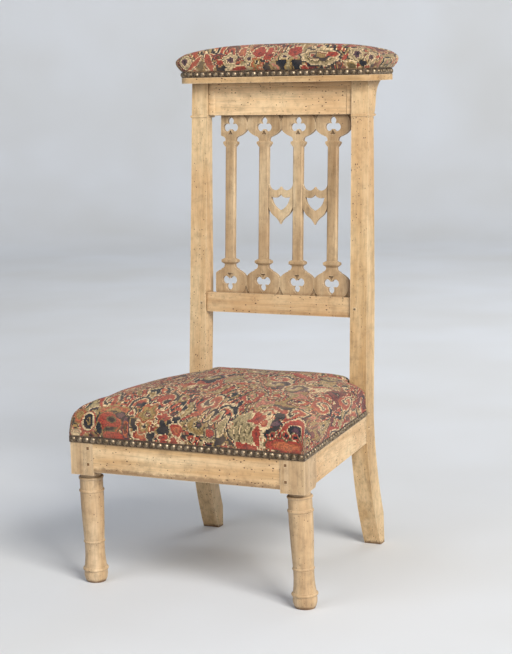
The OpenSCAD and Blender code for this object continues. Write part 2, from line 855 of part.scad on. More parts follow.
// Corbel behind a post, from the bead up to the board
corbel_toe = 4.6;
corbel_shares = [0.24, 0.5, -0.06, 0.12];
module corbel_side() {
    low = bead_z + bead_h + joint_gap;
    high = board_z - joint_gap;
    toe = [post_back(low) + corbel_toe, low];
    tip = [post_back(high) + corbel_reach, high];
    waist = [toe.x + (tip.x - toe.x) * corbel_shares[0], toe.y + (tip.y - toe.y) * corbel_shares[1]];
    polygon(concat(
        [[post_back(high) + joint_gap, high], [post_back(low) + joint_gap, low]],
        bowed(toe, waist, corbel_shares[2]),
        bowed(waist, tip, corbel_shares[3]),
        [tip]
    ));
}
module right_corbel_solid() {
    intersection() {
        along_x(0, seat_w) corbel_side();
        along_y(0, 2 * seat_d) post_face();
    }
}
module left_corbel() {
    color(wood) stand() mirror([1, 0, 0]) right_corbel_solid();
}
module right_corbel() {
    color(wood) stand() right_corbel_solid();
}

// Plan of the arm board, drawn in from its edge
module board_plan(in) {
    fr = board_corner - in;
    rr = board_rear_corner - in;
    x = board_l / 2 - in;
    y0 = board_y0 + in;
    y1 = board_y1 - in;
    translate([-x + fr, y0]) square([2 * (x - fr), y1 - y0]);
    translate([-x, y0 + fr]) square([2 * x, y1 - y0 - fr - rr]);
    translate([-x + rr, y0 + fr]) square([2 * (x - rr), y1 - y0 - fr]);
    for (side = [-1, 1]) {
        translate([side * (x - fr), y0 + fr]) circle(r = fr, $fn = 96);
        translate([side * (x - rr), y1 - rr]) circle(r = rr);
    }
}
module arm_board() {
    color(wood) stand() difference() {
        union() {
            translate([0, 0, board_z]) linear_extrude(board_show) board_plan(0);
            translate([0, 0, board_z]) linear_extrude(board_show + board_lap) board_plan(rebate);
        }
        post_stub(joint_gap);
        mirror([1, 0, 0]) post_stub(joint_gap);
        arm_nail_shanks();
    }
}

// Interlaced webbing straps on top of the rails
strap_count = 4;
strap_lap = 18;
web_front = front_setback + rail_t - strap_lap;
web_back = back_rail_y + strap_lap;
web_step_x = (seat_back_w - 2 * post_w - rail_t / 2) / strap_count;
web_step_y = (seat_d - 2 * rail_t) / strap_count;
function web_x(i) = (i - (strap_count - 1) / 2) * web_step_x;
function web_y(j) = rail_t + web_step_y * (j + 0.5);
function strap_line(from, to, places, parity) = concat(
    [[from, 0]],
    [for (k = [0 : len(places) - 1]) let (up = (k + parity) % 2 * strap_t)
        each [[places[k] - strap_w / 2 - soft_gap, up], [places[k] + strap_w / 2 + soft_gap, up]]],
    [[to, 0]]
);
module strap_profile(line) {
    polygon(concat(line, [for (k = [len(line) - 1 : -1 : 0]) line[k] + [0, strap_t]]));
}
long_places = [for (j = [0 : strap_count - 1]) web_y(j)];
cross_places = [for (i = [0 : strap_count - 1]) web_x(i)];
module webbing_long() {
    color(jute) stand() difference() {
        for (i = [0 : strap_count - 1])
            along_x(web_x(i) - strap_w / 2, strap_w) translate([0, rail_top])
                strap_profile(strap_line(web_front, web_back, long_places, i));
        webbing_tack_shanks();
    }
}
module webbing_cross() {
    color(jute) stand() difference() {
        for (j = [0 : strap_count - 1])
            along_y(web_y(j) - strap_w / 2, strap_w) translate([0, rail_top])
                strap_profile(strap_line(-web_end(j), web_end(j), cross_places, j + 1));
        webbing_tack_shanks();
    }
}
function web_end(j) = side_x(web_y(j) + strap_w / 2) - rail_t + strap_lap;

// Iron tacks at the ends of the straps
module tack(clear = 0) {
    translate([0, 0, -tack_l - clear])
        cylinder(d = shank_d + 2 * clear, h = tack_l + over + clear, $fn = 24);
    if (clear == 0) cylinder(d = tack_d, h = tack_h, $fn = 24);
}
tack_in = 7;
tack_gap = 14;
module webbing_tack_places() {
    for (k = [-1 : 1], i = [0 : strap_count - 1]) {
        along = k * tack_gap;
        side_in = web_end(i) - tack_in;
        translate([0, 0, rail_top + strap_t]) {
            translate([web_x(i) + along, web_front + tack_in]) children();
            translate([web_x(i) + along, web_back - tack_in]) children();
            translate([side_in, web_y(i) + along]) children();
            translate([-side_in, web_y(i) + along]) children();
        }
    }
}
module webbing_tack_shanks() {
    webbing_tack_places() tack(joint_gap);
}
module webbing_tacks() {
    color(iron) stand() webbing_tack_places() tack();
}

hessian_z = rail_top + 2 * strap_t + soft_gap;
hessian_in = 6;
module seat_hessian() {
    rear = seat_d - hessian_in;
    side = [side_x(hessian_in), side_x(rear), post_in(rail_top)] - [hessian_in, hessian_in, hessian_in];
    right = [[side[0], hessian_in], [side[1], rear], [side[2], rear], [side[2], back_face_y - hessian_in]];
    left = [for (i = [3 : -1 : 0]) [-right[i].x, right[i].y]];
    color(jute) stand() translate([0, 0, hessian_z]) linear_extrude(hessian_t) polygon(concat(right, left));
}

// Brass nails along a line, with the wood on the left of the way
module nail() {
    cap_r = (nail_d * nail_d / 4 + nail_h * nail_h) / (2 * nail_h);
    intersection() {
        translate([0, 0, nail_h - cap_r]) sphere(r = cap_r, $fn = 32);
        cylinder(d = 2 * nail_d, h = nail_d, $fn = 32);
    }
    translate([0, 0, -shank_l]) cylinder(d = shank_d, h = shank_l + over, $fn = 24);
}
module nail_shank() {
    translate([0, 0, -shank_l - joint_gap])
        cylinder(d = shank_d + 2 * joint_gap, h = shank_l + over, $fn = 24);
}
module nail_line(p, q, z, first, last) {
    way = q - p;
    run = norm(way) - first - last;
    count = round(run / nail_pitch);
    for (i = [0 : count])
        translate([p.x, p.y, z]) rotate([0, 0, atan2(way.y, way.x)])
            translate([first + run * i / count, -band_t, 0]) rotate([90, 0, 0]) children();
}
nail_z = wood_h + band_h / 2;
nailed_edges = [
    [[-seat_w / 2, 0], [seat_w / 2, 0]],
    [[seat_w / 2, 0], [seat_half, seat_d]],
    [[-seat_half, seat_d], [-seat_w / 2, 0]],
    [[post_in(nail_z), back_face_y], [-post_in(nail_z), back_face_y]]
];
module seat_nail_places() {
    for (line = nailed_edges) nail_line(line[0], line[1], nail_z, nail_end, nail_end) children();
}
module seat_nail_shanks() {
    seat_nail_places() nail_shank();
}
module seat_nails() {
    color(brass) stand() seat_nail_places() nail();
}

module band_strip(line, first, last) {
    way = line[1] - line[0];
    translate([line[0].x, line[0].y, wood_h]) rotate([0, 0, atan2(way.y, way.x)])
        translate([-first, -band_t, 0]) cube([norm(way) + first + last, band_t, band_h]);
}
module seat_band() {
    color(braid) stand() difference() {
        union() {
            band_strip(nailed_edges[0], band_t, band_t);
            band_strip(nailed_edges[1], 0, -soft_gap);
            band_strip(nailed_edges[2], -soft_gap, 0);
            band_strip(nailed_edges[3], -soft_gap, -soft_gap);
        }
        seat_nail_shanks();
    }
}

// Nails and band round the arm board
arm_nail_z = board_z + board_show + arm_band_h / 2;
module arm_nail_places() {
    x = board_l / 2 - rebate;
    y0 = board_y0 + rebate;
    y1 = board_y1 - rebate;
    r = board_corner - rebate;
    corner_count = round(r * PI / 2 / nail_pitch);
    nail_line([-x + r, y0], [x - r, y0], arm_nail_z, 0, 0) children();
    nail_line([x, y0 + r], [x, y1], arm_nail_z, 0, nail_end) children();
    nail_line([x, y1], [-x, y1], arm_nail_z, nail_end, nail_end) children();
    nail_line([-x, y1], [-x, y0 + r], arm_nail_z, nail_end, 0) children();
    for (k = [1 : corner_count - 1], side = [0, 1])
        mirror([side, 0, 0])
            translate([x - r, y0 + r, arm_nail_z]) rotate([0, 0, 90 * k / corner_count])
                translate([0, -r - band_t, 0]) rotate([90, 0, 0]) children();
}
module arm_nail_shanks() {
    arm_nail_places() nail_shank();
}
module arm_nails() {
    color(brass) stand() arm_nail_places() nail();
}
module arm_band() {
    color(braid) stand() difference() {
        translate([0, 0, board_z + board_show + joint_gap])
            linear_extrude(arm_band_h - joint_gap) difference() {
                board_plan(rebate - band_t);
                board_plan(rebate);
            }
        arm_nail_shanks();
    }
}

// Closed loop of places round a pad: X, Y, how free the side is to swell, corner, lift
edge_shares = [0, 0.04, 0.12, 0.3, 0.5, 0.7, 0.88, 0.96];
function edge(p, q, corner, lift_ends, lift_mid) = [
    for (s = edge_shares)
        let (at = p + (q - p) * s, bow = 4 * s * (1 - s))
        [at.x, at.y, 1 - pow(2 * s - 1, 4), s == 0 ? corner : 0, lift_ends + (lift_mid - lift_ends) * bow]
];
function inward(p, c, d) = [p.x, p.y] + (c - [p.x, p.y]) * d / norm(c - [p.x, p.y]);

// One ring of a pad: [inset from the loop, height] with a swell, a corner pull and a lift
function side_ring(loop, c, inset, swell, pull, lift, z) = [
    for (p = loop)
        let (at = inward(p, c, inset - swell * p[2] + pull * p[3]))
        [at.x, at.y, z + lift * p[4]]
];
function top_ring(ring, c, share, top, power) = [
    for (p = ring)
        [c.x + (p.x - c.x) * share, c.y + (p.y - c.y) * share, p.z + (top - p.z) * (1 - pow(share, power))]
];

// Rings of a pad skin, from the hem to near the crown; deep is its depth under the outer face
side_rings = 4;
round_rings = 4;
top_shares = [0.9, 0.76, 0.6, 0.42, 0.22];
round_end = 68;
function pad_rings(loop, c, low, hem, high, radius, swell, pull, top, power, deep) =
    let (
        start = high - radius,
        out = cover_t + soft_gap,
        sides = [for (i = [0 : side_rings])
            let (z = low + (start - low) * i / side_rings, up = (z - hem) / (high - hem))
            side_ring(loop, c, deep - out, swell * sin(180 * up), pull * up, max(up, 0), z)],
        rounds = [for (j = [1 : round_rings])
            let (a = round_end * j / round_rings, z = start + (radius - deep) * sin(a),
                 up = (z - hem) / (high - hem), inset = deep - out + (radius - deep) * (1 - cos(a)))
            side_ring(loop, c, inset, swell * sin(180 * up) * cos(a), pull * up, up, z)],
        last = rounds[round_rings - 1],
        tops = [for (s = top_shares) top_ring(last, c, s, top - deep, power)]
    )
    concat(sides, rounds, tops);

// Triangles between rings, and the fan up to the crown
function band_faces(first, count, rings, turn) = [
    for (k = [0 : rings - 2], i = [0 : count - 1])
        let (a = first + k * count + i, b = first + k * count + (i + 1) % count, up = count)
        each (turn ? [[a, b, b + up], [a, b + up, a + up]] : [[a, b + up, b], [a, a + up, b + up]])
];
function fan_faces(first, count, tip, turn) = [
    for (i = [0 : count - 1])
        turn ? [first + i, first + (i + 1) % count, tip] : [first + i, tip, first + (i + 1) % count]
];
module solid_pad(rings, c, top) {
    count = len(rings[0]);
    total = len(rings);
    low = rings[0][0].z;
    points = concat([for (r = rings) each r], [[c.x, c.y, top], [c.x, c.y, low]]);
    polyhedron(points, concat(
        band_faces(0, count, total, false),
        fan_faces((total - 1) * count, count, total * count, false),
        fan_faces(0, count, total * count + 1, true)
    ), convexity = 4);
}
module shell_pad(outer, inner, c, top) {
    count = len(outer[0]);
    total = len(outer);
    base = total * count + 1;
    points = concat([for (r = outer) each r], [[c.x, c.y, top]],
                    [for (r = inner) each r], [[c.x, c.y, top - cover_t]]);
    polyhedron(points, concat(
        band_faces(0, count, total, false),
        fan_faces((total - 1) * count, count, total * count, false),
        band_faces(base, count, total, true),
        fan_faces(base + (total - 1) * count, count, base + total * count, true),
        [for (i = [0 : count - 1])
            let (j = (i + 1) % count)
            each [[i, j, base + j], [i, base + j, base + i]]]
    ), convexity = 6);
}

// The seat pad lies on the frame and is cut out round the two posts
post_clear = 3.2;
seat_mid = [0, seat_d / 2];
notch_x = post_in(wood_h) - post_clear;
notch_y = seat_d - post_clear;
function at_post(x, y, lift) = [x, y, 0, 0, lift];
seat_loop = concat(
    edge([-seat_w / 2, 0], [seat_w / 2, 0], 1, 0, 0),
    edge([seat_w / 2, 0], [side_x(notch_y), notch_y], 1, 0, seat_rise),
    [at_post(side_x(notch_y), notch_y, 0), at_post(notch_x, notch_y, seat_rise)],
    edge([notch_x, back_face_y], [-notch_x, back_face_y], 0, seat_rise, seat_rise),
    [at_post(-notch_x, back_face_y, seat_rise), at_post(-notch_x, notch_y, seat_rise)],
    edge([-side_x(notch_y), notch_y], [-seat_w / 2, 0], 0, 0, seat_rise)
);
seat_hem = wood_h + band_h + soft_gap;
seat_base = hessian_z + hessian_t + soft_gap;
seat_high = wood_h + seat_pad_h;
seat_top = seat_high + seat_crown;
seat_pull = 9;
crown_shares = [2, 2.2];
function seat_rings(low, deep) =
    pad_rings(seat_loop, seat_mid, low, seat_hem, seat_high, seat_round, seat_swell, seat_pull, seat_top,
              crown_shares[0], deep);
module seat_cover() {
    color(cloth) stand()
        shell_pad(seat_rings(seat_hem, 0), seat_rings(seat_hem, cover_t), seat_mid, seat_top);
}
seat_fill = cover_t + soft_gap;
module seat_stuffing() {
    color(hair) stand() solid_pad(seat_rings(seat_base, seat_fill), seat_mid, seat_top - seat_fill);
}

// The arm pad lies on the board
arm_mid = [0, (board_y0 + board_y1) / 2];
arm_x = board_l / 2 - rebate;
arm_y0 = board_y0 + rebate;
arm_y1 = board_y1 - rebate;
arm_r = board_corner - rebate;
corner_steps = 4;
function arm_corner(side) = [
    for (k = [0 : corner_steps - 1])
        let (a = side > 0 ? 90 * k / corner_steps : 90 - 90 * k / corner_steps)
        [side * (arm_x - arm_r + arm_r * sin(a)), arm_y0 + arm_r - arm_r * cos(a), 1, 0, 0]
];
function free_edge(p, q, corner) = [
    for (e = edge(p, q, corner, 0, 0)) [e.x, e.y, 1, e[3], 0]
];
arm_loop = concat(
    free_edge([-arm_x + arm_r, arm_y0], [arm_x - arm_r, arm_y0], 0),
    arm_corner(1),
    free_edge([arm_x, arm_y0 + arm_r], [arm_x, arm_y1], 0),
    free_edge([arm_x, arm_y1], [-arm_x, arm_y1], 1),
    free_edge([-arm_x, arm_y1], [-arm_x, arm_y0 + arm_r], 1),
    arm_corner(-1)
);
arm_hem = board_z + board_show + arm_band_h + soft_gap;
arm_high = board_z + board_show + arm_pad_h;
arm_top = arm_high + arm_crown;
arm_pull = 4;
function arm_rings(low, deep) =
    pad_rings(arm_loop, arm_mid, low, arm_hem, arm_high, arm_round, arm_swell, arm_pull, arm_top,
              crown_shares[1], deep);
module arm_cover() {
    color(cloth) stand() shell_pad(arm_rings(arm_hem, 0), arm_rings(arm_hem, cover_t), arm_mid, arm_top);
}
module arm_stuffing() {
    color(hair) stand() solid_pad(arm_rings(board_top + soft_gap, seat_fill), arm_mid, arm_top - seat_fill);
}

front_left_leg();
front_right_leg();
rear_left_post();
rear_right_post();
front_seat_rail();
back_seat_rail();
left_seat_rail();
right_seat_rail();
seat_pegs();
back_pegs();
lower_back_rail();
crest_rail();
baluster_1();
baluster_2();
baluster_3();
baluster_4();
tracery_left();
tracery_right();
left_corbel();
right_corbel();
arm_board();
webbing_long();
webbing_cross();
webbing_tacks();
seat_hessian();
seat_stuffing();
seat_cover();
seat_band();
seat_nails();
arm_stuffing();
arm_cover();
arm_band();
arm_nails();
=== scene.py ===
"""Looks of a low prayer chair: bleached hardwood, needlework pads and aged brass nails.

Each class stands for one sub-assembly or one finish of the chair. Everything is in metres, in the
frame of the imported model. Sizes of patterns are given in millimetres and turned to metres by MM.
"""

import logging
import math
from dataclasses import dataclass, field
from enum import Enum
from typing import Any, Optional

import bmesh
import bpy
import numpy as np
from mathutils import Matrix, Vector, noise

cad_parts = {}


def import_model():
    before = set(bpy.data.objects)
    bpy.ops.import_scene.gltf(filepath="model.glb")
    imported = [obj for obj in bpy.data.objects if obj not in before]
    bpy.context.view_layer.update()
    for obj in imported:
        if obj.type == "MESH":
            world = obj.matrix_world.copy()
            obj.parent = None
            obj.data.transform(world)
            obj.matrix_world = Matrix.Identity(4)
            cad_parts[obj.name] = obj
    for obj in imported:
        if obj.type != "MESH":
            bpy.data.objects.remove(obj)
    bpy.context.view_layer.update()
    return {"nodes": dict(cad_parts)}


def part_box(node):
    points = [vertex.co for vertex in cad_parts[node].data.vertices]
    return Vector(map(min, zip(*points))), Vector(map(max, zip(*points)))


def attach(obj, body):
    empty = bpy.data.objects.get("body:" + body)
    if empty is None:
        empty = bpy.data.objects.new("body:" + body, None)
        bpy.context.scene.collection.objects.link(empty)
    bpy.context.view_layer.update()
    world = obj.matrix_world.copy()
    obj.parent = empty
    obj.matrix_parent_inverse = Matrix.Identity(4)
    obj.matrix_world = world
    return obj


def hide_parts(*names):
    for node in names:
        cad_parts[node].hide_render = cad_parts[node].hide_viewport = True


MM = 0.001
LOG = logging.getLogger("prayer_chair")

Tree = bpy.types.NodeTree
Socket = bpy.types.NodeSocket
Point = tuple[float, float, float]

# Ways to lay one colour over another, and where a blend takes the two colours and gives the result
COVER = {"data_type": "RGBA"}
DARKEN = {"data_type": "RGBA", "blend_type": "MULTIPLY"}
BELOW, ABOVE, BLENDED = 6, 7, 2

# A pattern that is drawn on flat cloth, and what keeps the flat part of a place or direction
ON_CLOTH = {"noise_dimensions": "2D"}
FLAT = (1.0, 1.0, 0.0)


def linear(colour: str) -> tuple[float, float, float, float]:
    """Turns an sRGB hex colour into linear light.

    Args:
        colour: The colour, as #RRGGBB.

    Returns:
        Red, green, blue and an alpha of one.
    """
    shares = [int(colour[i : i + 2], 16) / 255 for i in (1, 3, 5)]
    lit = [s / 12.92 if s <= 0.04045 else ((s + 0.055) / 1.055) ** 2.4 for s in shares]
    return (lit[0], lit[1], lit[2], 1.0)


def grey(level: float) -> tuple[float, float, float, float]:
    """A neutral ramp colour of that level."""
    return (level, level, level, 1.0)


def per(size_mm: float) -> float:
    """The scale of a pattern whose features are that many millimetres wide."""
    return 1 / (size_mm * MM)


def add(
    tree: Tree,
    kind: str,
    settings: Optional[dict[str, Any]] = None,
    inputs: Optional[dict[Any, Any]] = None,
    stops: Optional[list[tuple[float, Any]]] = None,
) -> bpy.types.Node:
    """Adds one node with its settings and links.

    Args:
        tree: The node tree that gets the node.
        kind: Blender's name of the node, without its ShaderNode in front.
        settings: Properties of the node; steps=True makes a ramp jump from stop to stop.
        inputs: Values, or sockets to link, by the name or number of the input.
        stops: Places and colours of a ramp.

    Returns:
        The new node.
    """
    node = tree.nodes.new("ShaderNode" + kind)
    settings = dict(settings or {})
    steps = settings.pop("steps", False)
    for name, value in settings.items():
        setattr(node, name, value)
    for name, value in (inputs or {}).items():
        if isinstance(value, Socket):
            tree.links.new(value, node.inputs[name])
        else:
            node.inputs[name].default_value = value
    if stops:
        ramp = node.color_ramp
        ramp.interpolation = "CONSTANT" if steps else "LINEAR"
        while len(ramp.elements) > 1:
            ramp.elements.remove(ramp.elements[-1])
        ramp.elements[0].position, ramp.elements[0].color = stops[0]
        for place, colour in stops[1:]:
            ramp.elements.new(place).color = colour
    return node


def new_material(name: str) -> tuple[bpy.types.Material, Tree, bpy.types.Node]:
    """Starts a material.

    Args:
        name: The name of the real material and how it was made.

    Returns:
        The material, its node tree and its principled shader.
    """
    material = bpy.data.materials.new(name)
    material.use_nodes = True
    return material, material.node_tree, material.node_tree.nodes["Principled BSDF"]


class Grain(Enum):
    """The axis that the grain of a board or turning follows; the value is its place in X, Y, Z."""

    ALONG_X = 0
    ALONG_Y = 1
    ALONG_Z = 2


@dataclass(frozen=True)
class BleachedHardwood:
    """Close-grained hardwood, planed, bleached and waxed long ago.

    It reads as a pale sandy wood with faint streaks along the grain, small dark worm holes, a darker
    line of dirt and painted shade in the joints, and a soft low shine.
    """

    member: str
    grain: Grain
    tone: str = "#DDBF95"
    shade: str = "#C4A071"
    light: str = "#E4CCA4"
    stain: str = "#B98A58"
    dirt_and_shade: str = "#5E4026"
    hole: str = "#4A2F1A"
    worn: str = "#F0DAB5"

    # The grain: fine streaks, the figure of the board, mottle and clouds of warmer wood
    streak_mm: float = 2.6
    board_mm: float = 34.0
    mottle_mm: float = 17.0
    cloud_mm: float = 110.0
    stretch: float = 0.05
    streak_deep: float = 0.35 * MM
    dent_mm: float = 22.0
    dent_deep: float = 0.8 * MM

    # Worm holes: the net they sit in, the widest hole, and how many there are
    hole_cell_mm: float = 4.0
    hole_mm: float = 0.95
    hole_stretch: float = 0.6
    holes: float = 1.0

    # Dirt: how far up the piece is soiled and how raggedly, and how far the dirt with painted shade creeps out
    # of a joint
    soil: float = 0.85
    soil_to: float = 1 * MM
    soil_solid: float = 10 * MM
    soil_thin: float = 5 * MM
    ragged_mm: float = 13.0
    ragged_by: float = 20 * MM
    joint_shade_and_dirt_reach: float = 9 * MM
    arris_reach: float = 2.2 * MM

    def make(self) -> bpy.types.Material:
        """Builds the material.

        Returns:
            The finished wood.
        """
        material, tree, shader = new_material(f"bleached_hardwood_{self.member}")
        place = add(tree, "TexCoord").outputs["Object"]
        fibre = add(tree, "Mapping", None, {"Vector": place, "Scale": self._along(self.stretch)}).outputs[0]
        board = add(
            tree, "TexNoise", None,
            {"Vector": fibre, "Scale": per(self.board_mm), "Detail": 4.0, "Roughness": 0.6, "Distortion": 0.6},
        ).outputs[0]
        streak = add(
            tree, "TexNoise", None,
            {"Vector": fibre, "Scale": per(self.streak_mm), "Detail": 3.0, "Roughness": 0.6},
        ).outputs[0]
        cloud = add(
            tree, "TexNoise", None, {"Vector": place, "Scale": per(self.cloud_mm), "Detail": 3.0}
        ).outputs[0]
        body = self._grown(tree, place, board, streak, cloud)
        drilled = self._drilled(tree, place, cloud)
        body = add(
            tree, "Mix", COVER, {"Factor": drilled, BELOW: body, ABOVE: linear(self.hole)}
        ).outputs[BLENDED]
        body = self._rubbed(tree, self._soiled_and_shaded(tree, place, body))
        tree.links.new(body, shader.inputs["Base Color"])
        gloss = add(
            tree, "MapRange", None,
            {"Value": board, "From Min": 0.3, "From Max": 0.7, "To Min": 0.5, "To Max": 0.62},
        ).outputs[0]
        tree.links.new(gloss, shader.inputs["Roughness"])
        tree.links.new(self._relief(tree, place, streak, drilled), shader.inputs["Normal"])
        shader.inputs["IOR"].default_value = 1.5
        return material

    def _along(self, share: float) -> list[float]:
        """A scale that stretches a pattern along the grain."""
        scale = [1.0, 1.0, 1.0]
        scale[self.grain.value] = share
        return scale

    def _grown(self, tree: Tree, place: Socket, board: Socket, streak: Socket, cloud: Socket) -> Socket:
        """Colours the clean wood.

        Args:
            tree: The node tree.
            place: The place on the piece.
            board: The figure of the board.
            streak: The fine streaks.
            cloud: The clouds of warmer wood.

        Returns:
            The colour.
        """
        body = add(
            tree, "ValToRGB", None, {0: board},
            [(0.32, linear(self.shade)), (0.5, linear(self.tone)), (0.7, linear(self.light))],
        ).outputs[0]
        mottle = add(
            tree, "TexNoise", None,
            {"Vector": place, "Scale": per(self.mottle_mm), "Detail": 4.0, "Roughness": 0.72},
        ).outputs[0]
        lines = [(0.3, grey(0.72)), (0.5, grey(1.0)), (0.72, grey(1.08))]
        spots = [(0.34, grey(0.7)), (0.5, grey(1.0)), (0.66, grey(1.12))]
        for pattern, levels in ((streak, lines), (mottle, spots)):
            level = add(tree, "ValToRGB", None, {0: pattern}, levels).outputs[0]
            body = add(tree, "Mix", DARKEN, {"Factor": 0.8, BELOW: body, ABOVE: level}).outputs[BLENDED]
        warm = add(tree, "ValToRGB", None, {0: cloud}, [(0.38, grey(0.0)), (0.7, grey(0.45))]).outputs[0]
        return add(
            tree, "Mix", COVER, {"Factor": warm, BELOW: body, ABOVE: linear(self.stain)}
        ).outputs[BLENDED]

    def _drilled(self, tree: Tree, place: Socket, cloud: Socket) -> Socket:
        """Bores the worm holes: the cores of some cells, each of its own size, thicker in some stretches.

        Args:
            tree: The node tree.
            place: The place on the piece.
            cloud: The clouds that the worms liked.

        Returns:
            One inside a hole, and nought beside it.
        """
        bored = add(
            tree, "Mapping", None, {"Vector": place, "Scale": self._along(self.hole_stretch)}
        ).outputs[0]
        cells = add(tree, "TexVoronoi", None, {"Vector": bored, "Scale": per(self.hole_cell_mm)})
        dice = add(tree, "SeparateColor", None, {0: cells.outputs["Color"]}).outputs[0]
        reach = add(
            tree, "MapRange", None,
            {"Value": dice, "From Min": 0.3, "From Max": 1.0, "To Min": 0.0, "To Max": 1.3},
        ).outputs[0]
        crowd = add(
            tree, "MapRange", None,
            {
                "Value": cloud,
                "From Min": 0.38,
                "From Max": 0.62,
                "To Min": 0.65 * self.holes,
                "To Max": self.holes,
            },
        ).outputs[0]
        reach = add(tree, "Math", {"operation": "MULTIPLY"}, {0: reach, 1: crowd}).outputs[0]
        near = add(
            tree, "Math", {"operation": "MULTIPLY"}, {0: reach, 1: self.hole_mm / self.hole_cell_mm}
        ).outputs[0]
        return add(
            tree, "Math", {"operation": "LESS_THAN"}, {0: cells.outputs["Distance"], 1: near}
        ).outputs[0]

    def _soiled_and_shaded(self, tree: Tree, place: Socket, body: Socket) -> Socket:
        """Soils the foot or lower edge of a piece, and paints shade with the dirt colour into the joints and
        quirks.

        Args:
            tree: The node tree.
            place: The place on the piece.
            body: The colour below.

        Returns:
            The colour with the dirt and the painted shade.
        """
        height = add(tree, "SeparateXYZ", None, {0: place}).outputs[2]
        ragged = add(
            tree, "TexNoise", None,
            {"Vector": place, "Scale": per(self.ragged_mm), "Detail": 4.0, "Roughness": 0.7},
        ).outputs[0]
        uneven = add(
            tree, "Math", {"operation": "MULTIPLY_ADD"}, {0: ragged, 1: -self.ragged_by, 2: height}
        ).outputs[0]
        soiled = add(
            tree, "MapRange", None,
            {
                "Value": uneven,
                "From Min": self.soil_to - self.soil_solid,
                "From Max": self.soil_to - self.soil_thin,
                "To Min": self.soil,
                "To Max": 0.0,
            },
        ).outputs[0]
        # Painted shade: ambient occlusion lays the dirt colour into the joints, corners and quirks.
        open_sky = add(
            tree, "AmbientOcclusion", {"samples": 8, "only_local": False}, {"Distance": self.joint_shade_and_dirt_reach}
        ).outputs["AO"]
        corner = add(
            tree, "ValToRGB", None, {0: open_sky}, [(0.25, grey(0.85)), (0.62, grey(0.28)), (0.9, grey(0.0))]
        ).outputs[0]
        for share in (soiled, corner):
            body = add(
                tree, "Mix", COVER, {"Factor": share, BELOW: body, ABOVE: linear(self.dirt_and_shade)}
            ).outputs[BLENDED]
        return body

    def _rubbed(self, tree: Tree, body: Socket) -> Socket:
        """Rubs the arrises paler, where a rounded edge turns away from the true face.

        Args:
            tree: The node tree.
            body: The colour below.

        Returns:
            The colour with the worn edges.
        """
        soft = add(tree, "Bevel", {"samples": 6}, {"Radius": self.arris_reach}).outputs[0]
        true = add(tree, "NewGeometry").outputs["Normal"]
        agree = add(tree, "VectorMath", {"operation": "DOT_PRODUCT"}, {0: soft, 1: true}).outputs["Value"]
        rubbed = add(tree, "ValToRGB", None, {0: agree}, [(0.8, grey(0.5)), (0.985, grey(0.0))]).outputs[0]
        return add(
            tree, "Mix", COVER, {"Factor": rubbed, BELOW: body, ABOVE: linear(self.worn)}
        ).outputs[BLENDED]

    def _relief(self, tree: Tree, place: Socket, streak: Socket, drilled: Socket) -> Socket:
        """Sinks the streaks and the holes, and lays old dents over both.

        Args:
            tree: The node tree.
            place: The place on the piece.
            streak: The fine streaks.
            drilled: One inside a hole.

        Returns:
            The bumped normal.
        """
        depth = add(tree, "Math", {"operation": "SUBTRACT"}, {0: streak, 1: drilled}).outputs[0]
        raised = add(
            tree, "Bump", None, {"Strength": 0.5, "Distance": self.streak_deep, "Height": depth}
        ).outputs[0]
        dents = add(
            tree, "TexNoise", None, {"Vector": place, "Scale": per(self.dent_mm), "Detail": 2.0}
        ).outputs[0]
        return add(
            tree, "Bump", None,
            {"Strength": 0.4, "Distance": self.dent_deep, "Height": dents, "Normal": raised},
        ).outputs[0]


@dataclass(frozen=True)
class PegWood:
    """Riven hardwood pegs, end grain up, darkened by wax and handling: small brown squares."""

    tone: str = "#8A6844"
    core: str = "#5A3F27"
    ring_mm: float = 1.6
    ring_deep: float = 0.3 * MM

    def make(self) -> bpy.types.Material:
        """Builds the material.

        Returns:
            The finished end grain.
        """
        material, tree, shader = new_material("hardwood_peg_end_grain")
        place = add(tree, "TexCoord").outputs["Object"]
        rings = add(
            tree, "TexNoise", None, {"Vector": place, "Scale": per(self.ring_mm), "Detail": 3.0}
        ).outputs[0]
        body = add(tree, "ValToRGB", None, {0: rings}, [(0.35, linear(self.core)), (0.65, linear(self.tone))])
        tree.links.new(body.outputs[0], shader.inputs["Base Color"])
        raised = add(
            tree, "Bump", None, {"Strength": 0.5, "Distance": self.ring_deep, "Height": rings}
        ).outputs[0]
        tree.links.new(raised, shader.inputs["Normal"])
        shader.inputs["Roughness"].default_value = 0.62
        return material


@dataclass(frozen=True)
class AgedBrass:
    """Pressed brass nail heads with a brown patina: a small bright spot on a dull olive dome."""

    bright: str = "#A3927C"
    dull: str = "#655643"
    patina_mm: float = 5.0
    rim_reach: float = 5 * MM

    def make(self) -> bpy.types.Material:
        """Builds the material.

        Returns:
            The finished brass.
        """
        material, tree, shader = new_material("brass_nail_pressed_aged")
        place = add(tree, "TexCoord").outputs["Object"]
        spots = add(
            tree, "TexNoise", None, {"Vector": place, "Scale": per(self.patina_mm), "Detail": 4.0}
        ).outputs[0]
        body = add(
            tree, "ValToRGB", None, {0: spots}, [(0.38, linear(self.dull)), (0.6, linear(self.bright))]
        ).outputs[0]
        open_sky = add(tree, "AmbientOcclusion", {"samples": 8}, {"Distance": self.rim_reach}).outputs["AO"]
        rim = add(tree, "ValToRGB", None, {0: open_sky}, [(0.35, grey(0.15)), (0.85, grey(1.0))]).outputs[0]
        body = add(tree, "Mix", DARKEN, {"Factor": 1.0, BELOW: body, ABOVE: rim}).outputs[BLENDED]
        tree.links.new(body, shader.inputs["Base Color"])
        gloss = add(
            tree, "MapRange", None,
            {"Value": spots, "From Min": 0.35, "From Max": 0.65, "To Min": 0.58, "To Max": 0.4},
        ).outputs[0]
        tree.links.new(gloss, shader.inputs["Roughness"])
        shader.inputs["Metallic"].default_value = 1.0
        return material


